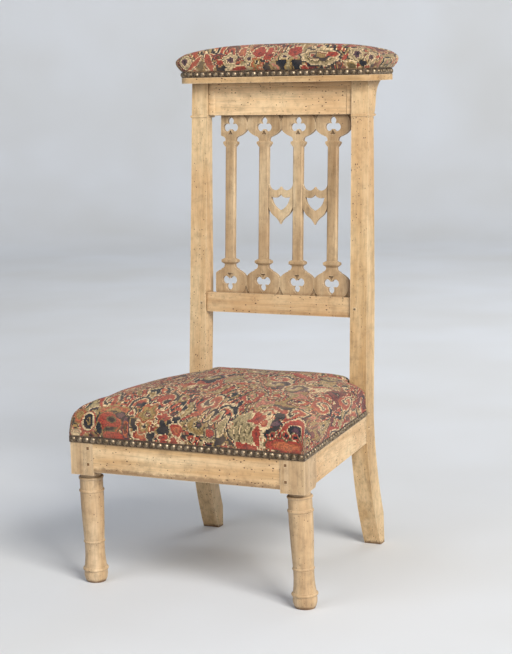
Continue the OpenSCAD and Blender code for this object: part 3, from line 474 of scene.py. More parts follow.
@dataclass(frozen=True)
class BluedSteel:
    """Cut tacks of blued steel: almost black, with a faint cold shine and brown rust in spots."""

    tone: str = "#3A3B3F"
    rust: str = "#4A3A30"
    rust_mm: float = 3.0

    def make(self) -> bpy.types.Material:
        """Builds the material.

        Returns:
            The finished steel.
        """
        material, tree, shader = new_material("steel_tack_blued")
        place = add(tree, "TexCoord").outputs["Object"]
        spots = add(
            tree, "TexNoise", None, {"Vector": place, "Scale": per(self.rust_mm), "Detail": 2.0}
        ).outputs[0]
        body = add(tree, "ValToRGB", None, {0: spots}, [(0.3, linear(self.rust)), (0.6, linear(self.tone))])
        tree.links.new(body.outputs[0], shader.inputs["Base Color"])
        shader.inputs["Metallic"].default_value = 1.0
        shader.inputs["Roughness"].default_value = 0.45
        return material


@dataclass(frozen=True)
class PlainWeave:
    """Plain-woven cloth of coarse yarn, such as jute webbing, hessian or a cotton braid.

    The over and under of warp and weft shows as a small chequer of light and dark yarn.
    """

    name: str
    tone: str
    shade: str
    thread_mm: float
    thread_deep: float = 0.5 * MM

    def make(self) -> bpy.types.Material:
        """Builds the material.

        Returns:
            The finished cloth.
        """
        material, tree, shader = new_material(self.name)
        place = add(tree, "TexCoord").outputs["Object"]
        turns = math.pi / (self.thread_mm * MM)
        scaled = add(tree, "VectorMath", {"operation": "SCALE"}, {0: place, "Scale": turns}).outputs[0]
        wave = add(tree, "VectorMath", {"operation": "SINE"}, {0: scaled}).outputs[0]
        parts = add(tree, "SeparateXYZ", None, {0: wave}).outputs
        across = add(tree, "Math", {"operation": "MAXIMUM"}, {0: parts[0], 1: parts[2]}).outputs[0]
        over = add(tree, "Math", {"operation": "MULTIPLY"}, {0: across, 1: parts[1]}).outputs[0]
        fuzz = add(
            tree, "TexNoise", None, {"Vector": place, "Scale": per(self.thread_mm), "Detail": 4.0}
        ).outputs[0]
        level = add(tree, "Math", {"operation": "MULTIPLY_ADD"}, {0: over, 1: 0.25, 2: fuzz}).outputs[0]
        body = add(tree, "ValToRGB", None, {0: level}, [(0.25, linear(self.shade)), (0.7, linear(self.tone))])
        tree.links.new(body.outputs[0], shader.inputs["Base Color"])
        raised = add(
            tree, "Bump", None, {"Strength": 0.7, "Distance": self.thread_deep, "Height": level}
        ).outputs[0]
        tree.links.new(raised, shader.inputs["Normal"])
        shader.inputs["Roughness"].default_value = 0.95
        shader.inputs["Sheen Weight"].default_value = 0.2
        return material


class Dye(Enum):
    """The wools of the needlework."""

    RED = "#A8402F"
    ORANGE = "#B8623C"
    BRICK = "#74302A"
    ROSE = "#BE7660"
    CREAM = "#DCC196"
    SAND = "#AA966C"
    TAN = "#A0814B"
    OLIVE = "#655636"
    NAVY = "#181A24"
    MAUVE = "#5E3C48"


class Bands(Enum):
    """Rings of colour of a stitched motif, each from its share of the radius outwards."""

    EYE_FLOWER = ((0.0, Dye.NAVY), (0.12, Dye.TAN), (0.3, Dye.NAVY), (0.66, Dye.CREAM), (0.86, Dye.RED))
    RED_BODY = ((0.0, Dye.RED), (0.84, Dye.ORANGE), (0.92, Dye.OLIVE))
    RED_BAND = ((0.0, Dye.RED), (0.7, Dye.CREAM), (0.9, Dye.NAVY))
    DARK_SLOT = ((0.0, Dye.NAVY), (0.62, Dye.OLIVE))
    DARK_PATCH = ((0.0, Dye.NAVY), (0.84, Dye.TAN))
    DARK_STAR = ((0.0, Dye.NAVY), (0.8, Dye.CREAM))
    DARK_LINE = ((0.0, Dye.NAVY),)
    CREAM_LINE = ((0.0, Dye.CREAM),)
    TAN_GROUND = ((0.0, Dye.TAN), (0.5, Dye.ORANGE), (0.85, Dye.TAN))
    STRIPED_STEM = ((0.0, Dye.OLIVE), (0.24, Dye.BRICK), (0.5, Dye.ORANGE), (0.72, Dye.MAUVE))
    SWIRL = ((0.0, Dye.RED), (0.4, Dye.CREAM), (0.62, Dye.NAVY), (0.88, Dye.TAN))
    TAN_FLOWER = ((0.0, Dye.CREAM), (0.12, Dye.BRICK), (0.24, Dye.SAND), (0.34, Dye.TAN), (0.74, Dye.ORANGE),
                  (0.9, Dye.CREAM))
    ORANGE_FLOWER = ((0.0, Dye.NAVY), (0.2, Dye.CREAM), (0.3, Dye.TAN), (0.6, Dye.ORANGE), (0.88, Dye.CREAM))
    RED_LEAF = ((0.0, Dye.BRICK), (0.2, Dye.RED), (0.84, Dye.CREAM))
    ORANGE_BUD = ((0.0, Dye.ORANGE), (0.5, Dye.RED), (0.8, Dye.CREAM))
    PALE_LEAF = ((0.0, Dye.CREAM), (0.46, Dye.ROSE), (0.58, Dye.CREAM), (0.88, Dye.RED))
    BIG_SCROLL = ((0.0, Dye.TAN), (0.4, Dye.SAND), (0.7, Dye.CREAM), (0.8, Dye.NAVY))
    EYE = ((0.0, Dye.MAUVE), (0.34, Dye.NAVY), (0.86, Dye.TAN))
    PALE_ARCH = ((0.0, Dye.TAN), (0.44, Dye.CREAM), (0.7, Dye.NAVY))
    ROSE_ARCH = ((0.0, Dye.RED), (0.4, Dye.SAND), (0.7, Dye.CREAM), (0.84, Dye.NAVY))
    SAND_ARCH = ((0.0, Dye.SAND), (0.6, Dye.CREAM), (0.84, Dye.NAVY))
    MAUVE_BERRY = ((0.0, Dye.RED), (0.55, Dye.MAUVE), (0.66, Dye.SAND), (0.86, Dye.NAVY))
    SAND_SHELL = ((0.0, Dye.SAND), (0.94, Dye.CREAM))
    RIPPLE = ((0.0, Dye.CREAM), (0.5, Dye.OLIVE))
    GLOW = ((0.0, Dye.ORANGE), (0.6, Dye.RED), (0.9, Dye.OLIVE))
    FLAME = ((0.0, Dye.NAVY), (0.36, Dye.RED), (0.7, Dye.CREAM), (0.84, Dye.OLIVE))
    MAUVE_GAP = ((0.0, Dye.MAUVE), (0.7, Dye.NAVY))
    RED_ARCH = ((0.0, Dye.RED), (0.66, Dye.CREAM), (0.88, Dye.NAVY))
    WHITE_FLOWER = ((0.0, Dye.NAVY), (0.2, Dye.MAUVE), (0.42, Dye.CREAM), (0.62, Dye.SAND), (0.78, Dye.CREAM),
                    (0.92, Dye.NAVY))
    RED_STRIPE = ((0.0, Dye.RED), (0.62, Dye.CREAM))
    OLIVE_DIAMOND = ((0.0, Dye.OLIVE), (0.6, Dye.TAN), (0.85, Dye.CREAM))
    ACANTHUS = ((0.0, Dye.TAN), (0.3, Dye.BRICK), (0.4, Dye.CREAM), (0.54, Dye.OLIVE), (0.62, Dye.SAND),
                (0.76, Dye.CREAM), (0.9, Dye.NAVY))


@dataclass(frozen=True)
class Motif:
    """One stitched flower, leaf or patch.

    Across and down are millimetres from the middle of the pad's front shoulder, down over the front and
    negative back over the top. A squeeze under one makes it narrow, and turn is in degrees.
    """

    across: float
    down: float
    radius: float
    bands: Bands
    lobes: int = 0
    squeeze: float = 1.0
    turn: float = 0.0
    lobe_depth: float = 0.14


@dataclass(frozen=True)
class Scroll:
    """One stitched stroke along part of a circle.

    Across, down and radius are as a Motif's. The stroke runs anticlockwise between two angles in
    degrees, and its bands go from its middle line to its edges, a half width away.
    """

    across: float
    down: float
    radius: float
    first: float
    last: float
    half: float
    bands: Bands


# The front of the seat, in the order of laying: across, down and radius in millimetres, as in Motif
# and Scroll
SEAT_MOTIFS = (
    Motif(-206, 12, 18, Bands.TAN_GROUND, squeeze=0.7),
    Motif(-217, 24, 8, Bands.DARK_SLOT, squeeze=0.5),
    Motif(-212, 45, 9, Bands.PALE_LEAF, squeeze=1.3),
    Motif(-200, 41, 9, Bands.RED_LEAF, squeeze=0.8),
    Motif(-189, 23, 21, Bands.EYE_FLOWER, squeeze=0.72, turn=-14),
    Motif(-140, -5, 11, Bands.TAN_GROUND, squeeze=3.2),
    Motif(-160, 6, 3, Bands.DARK_LINE, squeeze=3.2, turn=18),
    Motif(-144, -2, 3, Bands.DARK_LINE, squeeze=3.4, turn=12),
    Motif(-146, 26, 28, Bands.RED_BODY, lobes=4, squeeze=0.95, lobe_depth=0.06),
    Motif(-134, 46, 7, Bands.RED_BODY, squeeze=4.0),
    Motif(-141, 16, 7, Bands.DARK_SLOT, squeeze=1.6),
    Motif(-142, 35, 5, Bands.DARK_SLOT, squeeze=3.0, turn=10),
    Motif(-166, 34, 13, Bands.DARK_PATCH, squeeze=0.6, turn=10),
    Motif(-124, 4, 8, Bands.MAUVE_GAP, squeeze=1.5),
    Motif(-113, 30, 23, Bands.STRIPED_STEM, squeeze=0.32),
    Motif(-97, 22, 17, Bands.DARK_PATCH, squeeze=0.5, turn=12),
    Motif(-99, 43, 9, Bands.DARK_PATCH, squeeze=0.5),
    Motif(-93, -5, 8, Bands.DARK_PATCH, squeeze=1.1),
    Motif(-104, -2, 11, Bands.SWIRL),
    Motif(-92, -17, 4, Bands.DARK_LINE, squeeze=3.0),
    Motif(-85, 42, 10, Bands.ORANGE_BUD, squeeze=1.8),
    Motif(-77, 25, 16, Bands.ORANGE_FLOWER, lobes=5),
    Motif(-74, -2, 20, Bands.TAN_FLOWER, lobes=6),
    Motif(-64, 44, 11, Bands.DARK_STAR, lobes=3, lobe_depth=0.25),
    Motif(-49, 8, 6, Bands.DARK_STAR, squeeze=1.5),
    Motif(-40, 6, 16, Bands.RED_LEAF, lobes=5, squeeze=0.9, lobe_depth=0.2),
    Motif(-36, 27, 15, Bands.DARK_PATCH, lobes=4, lobe_depth=0.34),
    Motif(-28, 14, 9, Bands.DARK_PATCH, squeeze=0.6, turn=-40),
    Motif(-16, 6, 10, Bands.DARK_STAR, lobes=3),
    Motif(-14, 26, 14, Bands.ORANGE_BUD, lobes=3),
    Motif(-38, 43, 8, Bands.RED_LEAF, squeeze=1.5),
    Motif(-18, 47, 7, Bands.RED_LEAF),
    Motif(-1, 45, 8, Bands.PALE_LEAF, squeeze=1.6),
    Motif(114, 12, 31, Bands.SAND_SHELL, lobes=9, squeeze=1.12, lobe_depth=0.06),
    Motif(98, 16, 22, Bands.RIPPLE, squeeze=0.1, turn=6),
    Motif(109, 20, 23, Bands.RIPPLE, squeeze=0.09),
    Motif(119, 14, 23, Bands.RIPPLE, squeeze=0.09, turn=-6),
    Motif(128, 6, 18, Bands.RIPPLE, squeeze=0.11, turn=-10),
    Scroll(116, 12, 33, 128, 222, 1.7, Bands.DARK_LINE),
    Motif(138, 25, 25, Bands.RED_LEAF, lobes=5, squeeze=0.32, lobe_depth=0.2),
    Motif(133, -8, 11, Bands.RED_LEAF, lobes=4, squeeze=1.5, lobe_depth=0.2),
    Motif(119, 46, 8, Bands.RED_LEAF, squeeze=2.8),
    Motif(149, 0, 11, Bands.ORANGE_BUD, squeeze=0.8),
    Motif(82, 8, 9, Bands.PALE_LEAF),
    Motif(31, -6, 16, Bands.PALE_ARCH, squeeze=0.32, turn=-14),
    Motif(43, -5, 18, Bands.PALE_ARCH, squeeze=0.32, turn=-20),
    Motif(57, -4, 20, Bands.ROSE_ARCH, squeeze=0.4, turn=-26),
    Scroll(46, 20, 19, 238, 350, 6.5, Bands.SAND_ARCH),
    Motif(71, 12, 30, Bands.SAND_ARCH, squeeze=0.28, turn=-12),
    Scroll(27, 15, 14, 95, 345, 8, Bands.BIG_SCROLL),
    Motif(29, 16, 8, Bands.EYE),
    Motif(51, 28, 11, Bands.MAUVE_BERRY, squeeze=1.1),
    Motif(70, 39, 16, Bands.DARK_PATCH, squeeze=0.42, turn=-52),
    Motif(88, 41, 8, Bands.DARK_PATCH, squeeze=0.5, turn=30),
    Motif(168, -16, 5, Bands.DARK_LINE, squeeze=2.4),
    Motif(169, -2, 9, Bands.MAUVE_GAP, squeeze=1.2),
    Motif(165, 13, 6, Bands.DARK_LINE, squeeze=2.0, turn=25),
    Motif(159, -5, 12, Bands.CREAM_LINE, squeeze=0.2),
    Motif(153, 13, 12, Bands.CREAM_LINE, squeeze=0.2, turn=-35),
    Motif(149, 35, 14, Bands.CREAM_LINE, squeeze=0.2),
    Motif(211, 6, 18, Bands.MAUVE_GAP),
    Motif(190, 39, 12, Bands.GLOW, squeeze=3.4),
    Motif(167, 24, 8, Bands.FLAME, squeeze=0.9),
    Motif(180, 21, 8, Bands.FLAME, squeeze=0.8),
    Motif(192, 22, 9, Bands.FLAME, squeeze=0.8),
    Motif(207, 22, 9, Bands.FLAME, squeeze=0.8),
    Scroll(211, 12, 24, -10, 188, 9, Bands.RED_ARCH),
    Scroll(211, 12, 12, 10, 190, 2.5, Bands.DARK_LINE),
)

ARM_MOTIFS = (
    Motif(-153, 18, 15, Bands.OLIVE_DIAMOND, squeeze=0.9),
    Motif(-184, 11, 14, Bands.WHITE_FLOWER, squeeze=1.1),
    Motif(-164, 14, 27, Bands.RED_BAND, squeeze=0.26, turn=-52),
    Motif(-134, 12, 27, Bands.RED_BAND, squeeze=0.36, turn=20),
    Motif(-113, 2, 9, Bands.STRIPED_STEM, squeeze=1.3),
    Motif(-110, 14, 7, Bands.RED_LEAF, squeeze=1.4),
    Motif(-108, 26, 5, Bands.DARK_PATCH, squeeze=3.0),
    Motif(-88, 9, 16, Bands.WHITE_FLOWER, lobes=5),
    Motif(-73, 28, 6, Bands.RED_STRIPE, squeeze=4.8),
    Motif(-64, -4, 10, Bands.ORANGE_BUD),
    Motif(-49, 8, 11, Bands.WHITE_FLOWER),
    Motif(-30, 17, 15, Bands.ORANGE_FLOWER, lobes=6, lobe_depth=0.2),
    Motif(-18, 13, 6, Bands.DARK_PATCH, squeeze=1.3),
    Motif(-10, 26, 5, Bands.DARK_PATCH, squeeze=1.4),
    Motif(-29, -5, 12, Bands.RED_LEAF, squeeze=1.4),
    Motif(-2, 2, 16, Bands.RED_LEAF, lobes=4, squeeze=1.1, lobe_depth=0.2),
    Motif(26, 7, 11, Bands.WHITE_FLOWER, lobes=4),
    Motif(44, -4, 11, Bands.RED_LEAF, squeeze=1.5),
    Motif(20, 21, 8, Bands.DARK_PATCH, lobes=3, squeeze=1.6),
    Motif(50, 21, 12, Bands.DARK_PATCH, lobes=3, squeeze=1.1),
    Motif(64, 29, 6, Bands.RED_LEAF, squeeze=2.0),
    Motif(96, 6, 20, Bands.ACANTHUS, lobes=9, squeeze=2.1, lobe_depth=0.05),
    Motif(82, 3, 9, Bands.SWIRL),
    Motif(120, 3, 7, Bands.RED_LEAF, squeeze=1.9),
    Scroll(100, -2, 16, 200, 330, 2.2, Bands.DARK_LINE),
    Motif(100, 31, 4, Bands.DARK_LINE, squeeze=5.0),
    Motif(146, 8, 16, Bands.RED_BAND, squeeze=0.34, turn=-40),
    Motif(168, 4, 18, Bands.WHITE_FLOWER, lobes=6),
    Motif(156, 24, 8, Bands.OLIVE_DIAMOND, squeeze=1.4),
    Motif(181, 21, 7, Bands.DARK_PATCH, squeeze=1.6),
    Motif(202, 6, 15, Bands.WHITE_FLOWER, lobes=5, turn=30),
    Motif(198, 26, 6, Bands.ORANGE_BUD, squeeze=2.0),
)


@dataclass(frozen=True)
class Needlework:
    """Wool gros-point stitched on canvas in a traditional pattern of scrolls and flowers.

    Small square stitches give stepped outlines. Cream and navy lines edge rust red, tan and mauve
    shapes, and the wool is dull with a slight nap. The front edge of each pad has its own motifs, and
    the rest is filled with leaves, curls and small flowers. A stitch is drawn coarser than a real one,
    which would be too fine to show.
    """

    name: str
    motifs: tuple[Motif | Scroll, ...]
    front: tuple[float, float]

    stitch_mm: float = 2.2
    stitch_deep: float = 1.1 * MM
    nap_mm: float = 4.0
    shape_mm: float = 42.0
    region_mm: float = 70.0
    curl_mm: float = 62.0
    curl_r: float = 20 * MM

    # How far outlines wander: in single stitches, and slowly in the curls and in the motifs
    jitter_mm: float = 8.0
    jitter_by_mm: float = 4.0
    wander_mm: float = 30.0
    curls_by_mm: float = 18.0
    motifs_by_mm: float = 10.0

    # The yarn: its darkest and lightest stitch, and the colour and width of faded patches
    yarn_dark: float = 0.46
    yarn_light: float = 1.26
    fade: str = "#C9A583"
    fade_mm: float = 60.0

    def make(self) -> bpy.types.Material:
        """Builds the material.

        Returns:
            The finished needlework.
        """
        material, tree, shader = new_material(self.name)
        plan = add(tree, "Attribute", {"attribute_name": "plan"}).outputs["Vector"]
        stitch = self.stitch_mm * MM
        snapped = add(
            tree, "VectorMath", {"operation": "SNAP"}, {0: plan, 1: (stitch, stitch, 1.0)}
        ).outputs[0]
        wander = add(
            tree, "TexNoise", ON_CLOTH, {"Vector": snapped, "Scale": per(self.wander_mm), "Detail": 1.5}
        ).outputs["Color"]
        jitter = add(
            tree, "TexNoise", ON_CLOTH, {"Vector": snapped, "Scale": per(self.jitter_mm)}
        ).outputs["Color"]
        near = self._bent(tree, snapped, jitter, self.jitter_by_mm)
        fill = self._ground(tree, near)
        fill = self._curls(tree, self._bent(tree, near, wander, self.curls_by_mm), fill)
        near = self._bent(tree, near, wander, self.motifs_by_mm)
        for motif in self.motifs:
            draw = self._motif if isinstance(motif, Motif) else self._scroll
            fill = draw(tree, near, fill, motif)
        tree.links.new(self._yarn(tree, snapped, fill), shader.inputs["Base Color"])
        tree.links.new(self._stitches(tree, plan), shader.inputs["Normal"])
        shader.inputs["Roughness"].default_value = 0.92
        shader.inputs["Sheen Weight"].default_value = 0.12
        shader.inputs["Sheen Roughness"].default_value = 0.5
        return material

    @staticmethod
    def _bent(tree: Tree, place: Socket, sway: Socket, reach_mm: float) -> Socket:
        """Lets places wander, so that no outline is drawn with a compass.

        Args:
            tree: The node tree.
            place: The place of each stitch.
            sway: A colour whose distance from middle grey is the way of the wander.
            reach_mm: How far it goes.

        Returns:
            The wandering place.
        """
        reach = (reach_mm * MM, reach_mm * MM, 0.0)
        way = add(tree, "VectorMath", {"operation": "SUBTRACT"}, {0: sway, 1: (0.5, 0.5, 0.5)}).outputs[0]
        return add(tree, "VectorMath", {"operation": "MULTIPLY_ADD"}, {0: way, 1: reach, 2: place}).outputs[0]

    @staticmethod
    def _ramp(tree: Tree, level: Socket, bands: tuple[tuple[float, Dye], ...]) -> Socket:
        """Picks the wool for a level from bands of colour."""
        stops = [(start, linear(dye.value)) for start, dye in bands]
        return add(tree, "ValToRGB", {"steps": True}, {0: level}, stops).outputs[0]

    def _ground(self, tree: Tree, place: Socket) -> Socket:
        """Draws the ground: curling red and tan shapes on navy, each with a cream line round it.

        Args:
            tree: The node tree.
            place: The place of each stitch.

        Returns:
            The colour.
        """
        shape = add(
            tree, "TexNoise", ON_CLOTH,
            {"Vector": place, "Scale": per(self.shape_mm), "Detail": 1.0, "Roughness": 0.42, "Distortion": 1.5},
        ).outputs[0]
        reds = self._ramp(
            tree, shape,
            ((0.0, Dye.ROSE), (0.29, Dye.SAND), (0.35, Dye.TAN), (0.415, Dye.CREAM), (0.435, Dye.NAVY),
             (0.485, Dye.CREAM), (0.505, Dye.RED), (0.575, Dye.ORANGE), (0.61, Dye.CREAM), (0.63, Dye.NAVY),
             (0.69, Dye.BRICK)),
        )
        tans = self._ramp(
            tree, shape,
            ((0.0, Dye.TAN), (0.27, Dye.BRICK), (0.315, Dye.NAVY), (0.365, Dye.CREAM), (0.385, Dye.RED),
             (0.44, Dye.ORANGE), (0.465, Dye.CREAM), (0.485, Dye.NAVY), (0.525, Dye.TAN), (0.575, Dye.CREAM),
             (0.595, Dye.BRICK), (0.64, Dye.RED), (0.7, Dye.CREAM)),
        )
        region = add(
            tree, "TexNoise", ON_CLOTH,
            {"Vector": place, "Scale": per(self.region_mm), "Detail": 1.0, "Distortion": 0.6},
        ).outputs[0]
        other = add(tree, "Math", {"operation": "GREATER_THAN"}, {0: region, 1: 0.52}).outputs[0]
        return add(tree, "Mix", COVER, {"Factor": other, BELOW: reds, ABOVE: tans}).outputs[BLENDED]

    def _curls(self, tree: Tree, place: Socket, fill: Socket) -> Socket:
        """Lays rolled leaves over the ground, one in about every second cell of a wide net.

        Args:
            tree: The node tree.
            place: The wandering place.
            fill: The colour below.

        Returns:
            The colour with the curls.
        """
        cell = add(
            tree, "TexVoronoi", {"voronoi_dimensions": "2D"},
            {"Vector": place, "Scale": per(self.curl_mm), "Randomness": 0.85},
        )
        away = add(
            tree, "VectorMath", {"operation": "SUBTRACT"}, {0: place, 1: cell.outputs["Position"]}
        ).outputs[0]
        parts = add(tree, "SeparateXYZ", None, {0: away}).outputs
        angle = add(tree, "Math", {"operation": "ARCTAN2"}, {0: parts[1], 1: parts[0]}).outputs[0]
        radius = add(tree, "VectorMath", {"operation": "LENGTH"}, {0: away}).outputs["Value"]
        turns = add(tree, "Math", {"operation": "DIVIDE"}, {0: radius, 1: 0.9 * self.curl_r}).outputs[0]
        arm = add(
            tree, "Math", {"operation": "MULTIPLY_ADD"}, {0: angle, 1: 0.5 / math.pi, 2: turns}
        ).outputs[0]
        arm = add(tree, "Math", {"operation": "FRACT"}, {0: arm}).outputs[0]
        dice = add(tree, "SeparateColor", None, {0: cell.outputs["Color"]}).outputs
        first = self._ramp(
            tree, arm,
            ((0.0, Dye.NAVY), (0.2, Dye.CREAM), (0.35, Dye.RED), (0.68, Dye.ORANGE), (0.86, Dye.CREAM)),
        )
        second = self._ramp(
            tree, arm,
            ((0.0, Dye.CREAM), (0.16, Dye.SAND), (0.44, Dye.TAN), (0.62, Dye.NAVY), (0.84, Dye.MAUVE)),
        )
        kind = add(tree, "Math", {"operation": "GREATER_THAN"}, {0: dice[1], 1: 0.55}).outputs[0]
        curl = add(tree, "Mix", COVER, {"Factor": kind, BELOW: first, ABOVE: second}).outputs[BLENDED]
        inside = add(tree, "Math", {"operation": "LESS_THAN"}, {0: radius, 1: self.curl_r}).outputs[0]
        grown = add(tree, "Math", {"operation": "LESS_THAN"}, {0: dice[0], 1: 0.5}).outputs[0]
        mask = add(tree, "Math", {"operation": "MULTIPLY"}, {0: inside, 1: grown}).outputs[0]
        return add(tree, "Mix", COVER, {"Factor": mask, BELOW: fill, ABOVE: curl}).outputs[BLENDED]

    def _middle(self, motif: Motif | Scroll) -> Point:
        """The middle of a motif or stroke, in the plan of the cloth."""
        return (self.front[0] + motif.across * MM, self.front[1] - motif.down * MM, 0.0)

    def _motif(self, tree: Tree, place: Socket, fill: Socket, motif: Motif) -> Socket:
        """Lays one motif over the colour below.

        Args:
            tree: The node tree.
            place: The wandering place.
            fill: The colour below.
            motif: The motif.

        Returns:
            The colour with the motif.
        """
        local = add(
            tree, "Mapping", {"vector_type": "TEXTURE"},
            {
                "Vector": place,
                "Location": self._middle(motif),
                "Rotation": (0.0, 0.0, math.radians(motif.turn)),
                "Scale": (motif.radius * motif.squeeze * MM, motif.radius * MM, 1.0),
            },
        ).outputs[0]
        local = add(tree, "VectorMath", {"operation": "MULTIPLY"}, {0: local, 1: FLAT}).outputs[0]
        share = add(tree, "VectorMath", {"operation": "LENGTH"}, {0: local}).outputs["Value"]
        if motif.lobes:
            parts = add(tree, "SeparateXYZ", None, {0: local}).outputs
            angle = add(tree, "Math", {"operation": "ARCTAN2"}, {0: parts[1], 1: parts[0]}).outputs[0]
            angle = add(
                tree, "Math", {"operation": "MULTIPLY"}, {0: angle, 1: float(motif.lobes)}
            ).outputs[0]
            wave = add(tree, "Math", {"operation": "SINE"}, {0: angle}).outputs[0]
            rim = add(
                tree, "Math", {"operation": "MULTIPLY_ADD"}, {0: wave, 1: motif.lobe_depth, 2: 1.0}
            ).outputs[0]
            share = add(tree, "Math", {"operation": "DIVIDE"}, {0: share, 1: rim}).outputs[0]
        colour = self._ramp(tree, share, motif.bands.value)
        inside = add(tree, "Math", {"operation": "LESS_THAN"}, {0: share, 1: 1.0}).outputs[0]
        return add(tree, "Mix", COVER, {"Factor": inside, BELOW: fill, ABOVE: colour}).outputs[BLENDED]

    def _scroll(self, tree: Tree, place: Socket, fill: Socket, scroll: Scroll) -> Socket:
        """Lays one curved stroke over the colour below.

        Args:
            tree: The node tree.
            place: The wandering place.
            fill: The colour below.
            scroll: The stroke.

        Returns:
            The colour with the stroke.
        """
        aim = math.radians(scroll.first + scroll.last) / 2
        reach = math.radians(scroll.last - scroll.first) / 2
        local = add(
            tree, "VectorMath", {"operation": "SUBTRACT"}, {0: place, 1: self._middle(scroll)}
        ).outputs[0]
        local = add(tree, "VectorMath", {"operation": "MULTIPLY"}, {0: local, 1: FLAT}).outputs[0]
        away = add(tree, "VectorMath", {"operation": "LENGTH"}, {0: local}).outputs["Value"]
        off = add(tree, "Math", {"operation": "SUBTRACT"}, {0: away, 1: scroll.radius * MM}).outputs[0]
        off = add(tree, "Math", {"operation": "ABSOLUTE"}, {0: off}).outputs[0]
        share = add(tree, "Math", {"operation": "DIVIDE"}, {0: off, 1: scroll.half * MM}).outputs[0]
        facing = add(
            tree, "VectorMath", {"operation": "DOT_PRODUCT"},
            {0: local, 1: (math.cos(aim), math.sin(aim), 0.0)},
        ).outputs["Value"]
        limit = add(tree, "Math", {"operation": "MULTIPLY"}, {0: away, 1: math.cos(reach)}).outputs[0]
        turned = add(tree, "Math", {"operation": "GREATER_THAN"}, {0: facing, 1: limit}).outputs[0]
        inside = add(tree, "Math", {"operation": "LESS_THAN"}, {0: share, 1: 1.0}).outputs[0]
        mask = add(tree, "Math", {"operation": "MULTIPLY"}, {0: inside, 1: turned}).outputs[0]
        colour = self._ramp(tree, share, scroll.bands.value)
        return add(tree, "Mix", COVER, {"Factor": mask, BELOW: fill, ABOVE: colour}).outputs[BLENDED]

    def _yarn(self, tree: Tree, place: Socket, fill: Socket) -> Socket:
        """Varies the dye from stitch to stitch and fades the wool in patches.

        Args:
            tree: The node tree.
            place: The place of each stitch.
            fill: The colour below.

        Returns:
            The colour of the yarn.
        """
        dice = add(tree, "TexWhiteNoise", ON_CLOTH, {"Vector": place}).outputs["Value"]
        level = add(
            tree, "MapRange", None,
            {
                "Value": dice,
                "From Min": 0.0,
                "From Max": 1.0,
                "To Min": self.yarn_dark,
                "To Max": self.yarn_light,
            },
        ).outputs[0]
        fill = add(tree, "Mix", DARKEN, {"Factor": 1.0, BELOW: fill, ABOVE: level}).outputs[BLENDED]
        worn = add(
            tree, "TexNoise", None, {"Vector": place, "Scale": per(self.fade_mm), "Detail": 3.0}
        ).outputs[0]
        worn = add(tree, "ValToRGB", None, {0: worn}, [(0.45, grey(0.0)), (0.75, grey(0.3))]).outputs[0]
        return add(
            tree, "Mix", COVER, {"Factor": worn, BELOW: fill, ABOVE: linear(self.fade)}
        ).outputs[BLENDED]

    def _stitches(self, tree: Tree, plan: Socket) -> Socket:
        """Raises each stitch a little and adds the nap of the wool.

        Args:
            tree: The node tree.
            plan: The place on the cloth.

        Returns:
            The bumped normal.
        """
        turns = add(
            tree, "VectorMath", {"operation": "SCALE"}, {0: plan, "Scale": math.pi / (self.stitch_mm * MM)}
        ).outputs[0]
        rows = add(tree, "VectorMath", {"operation": "SINE"}, {0: turns}).outputs[0]
        rows = add(tree, "VectorMath", {"operation": "ABSOLUTE"}, {0: rows}).outputs[0]
        parts = add(tree, "SeparateXYZ", None, {0: rows}).outputs
        pillow = add(tree, "Math", {"operation": "MULTIPLY"}, {0: parts[0], 1: parts[1]}).outputs[0]
        nap = add(
            tree, "TexNoise", None, {"Vector": plan, "Scale": per(self.nap_mm), "Detail": 4.0}
        ).outputs[0]
        height = add(tree, "Math", {"operation": "MULTIPLY_ADD"}, {0: nap, 1: 1.6, 2: pillow}).outputs[0]
        return add(
            tree, "Bump", None, {"Strength": 0.9, "Distance": self.stitch_deep, "Height": height}
        ).outputs[0]


@dataclass(frozen=True)
class PaintedFloor:
    """The plain pale studio floor, rolled with a dull paint: even, with hardly any shine."""

    tone: str = "#DEE2E8"
    shade: str = "#D6D8DA"
    cloud_mm: float = 1000 / 1.5

    def make(self) -> bpy.types.Material:
        """Builds the material.

        Returns:
            The finished floor.
        """
        material, tree, shader = new_material("studio_floor_painted")
        place = add(tree, "TexCoord").outputs["Object"]
        cloud = add(
            tree, "TexNoise", None, {"Vector": place, "Scale": per(self.cloud_mm), "Detail": 2.0}
        ).outputs[0]
        body = add(tree, "ValToRGB", None, {0: cloud}, [(0.3, linear(self.shade)), (0.7, linear(self.tone))])
        tree.links.new(body.outputs[0], shader.inputs["Base Color"])
        shader.inputs["Roughness"].default_value = 0.7
        return material


@dataclass
class Frame:
    """The loaded frame: its nodes as the pieces of the chair that keep their shape."""

    nodes: dict[str, bpy.types.Object]
    weld: float = 0.01 * MM
    bevel_steps: int = 2
    sharp_from: float = math.radians(32)

    def dress(self, names: tuple[str, ...], material: bpy.types.Material, arris: float = 0.0) -> None:
        """Gives nodes a material and, where asked, worn edges.

        Args:
            names: The nodes.
            material: Their material.
            arris: How far the sharp edges are rounded, in metres.
        """
        for name in names:
            node = self.nodes[name]
            node.data.materials.clear()
            node.data.materials.append(material)
            if arris:
                node.modifiers.new("joined_faces", "WELD").merge_threshold = self.weld
                bevel = node.modifiers.new("worn_edges", "BEVEL")
                bevel.width = arris
                bevel.segments = self.bevel_steps
                bevel.limit_method = "ANGLE"
                bevel.angle_limit = self.sharp_from
                bevel.use_clamp_overlap = True
                node.modifiers.new("even_shading", "WEIGHTED_NORMAL").keep_sharp = False
            LOG.info("%s: %s, edges rounded by %.1f mm", name, material.name, arris / MM)


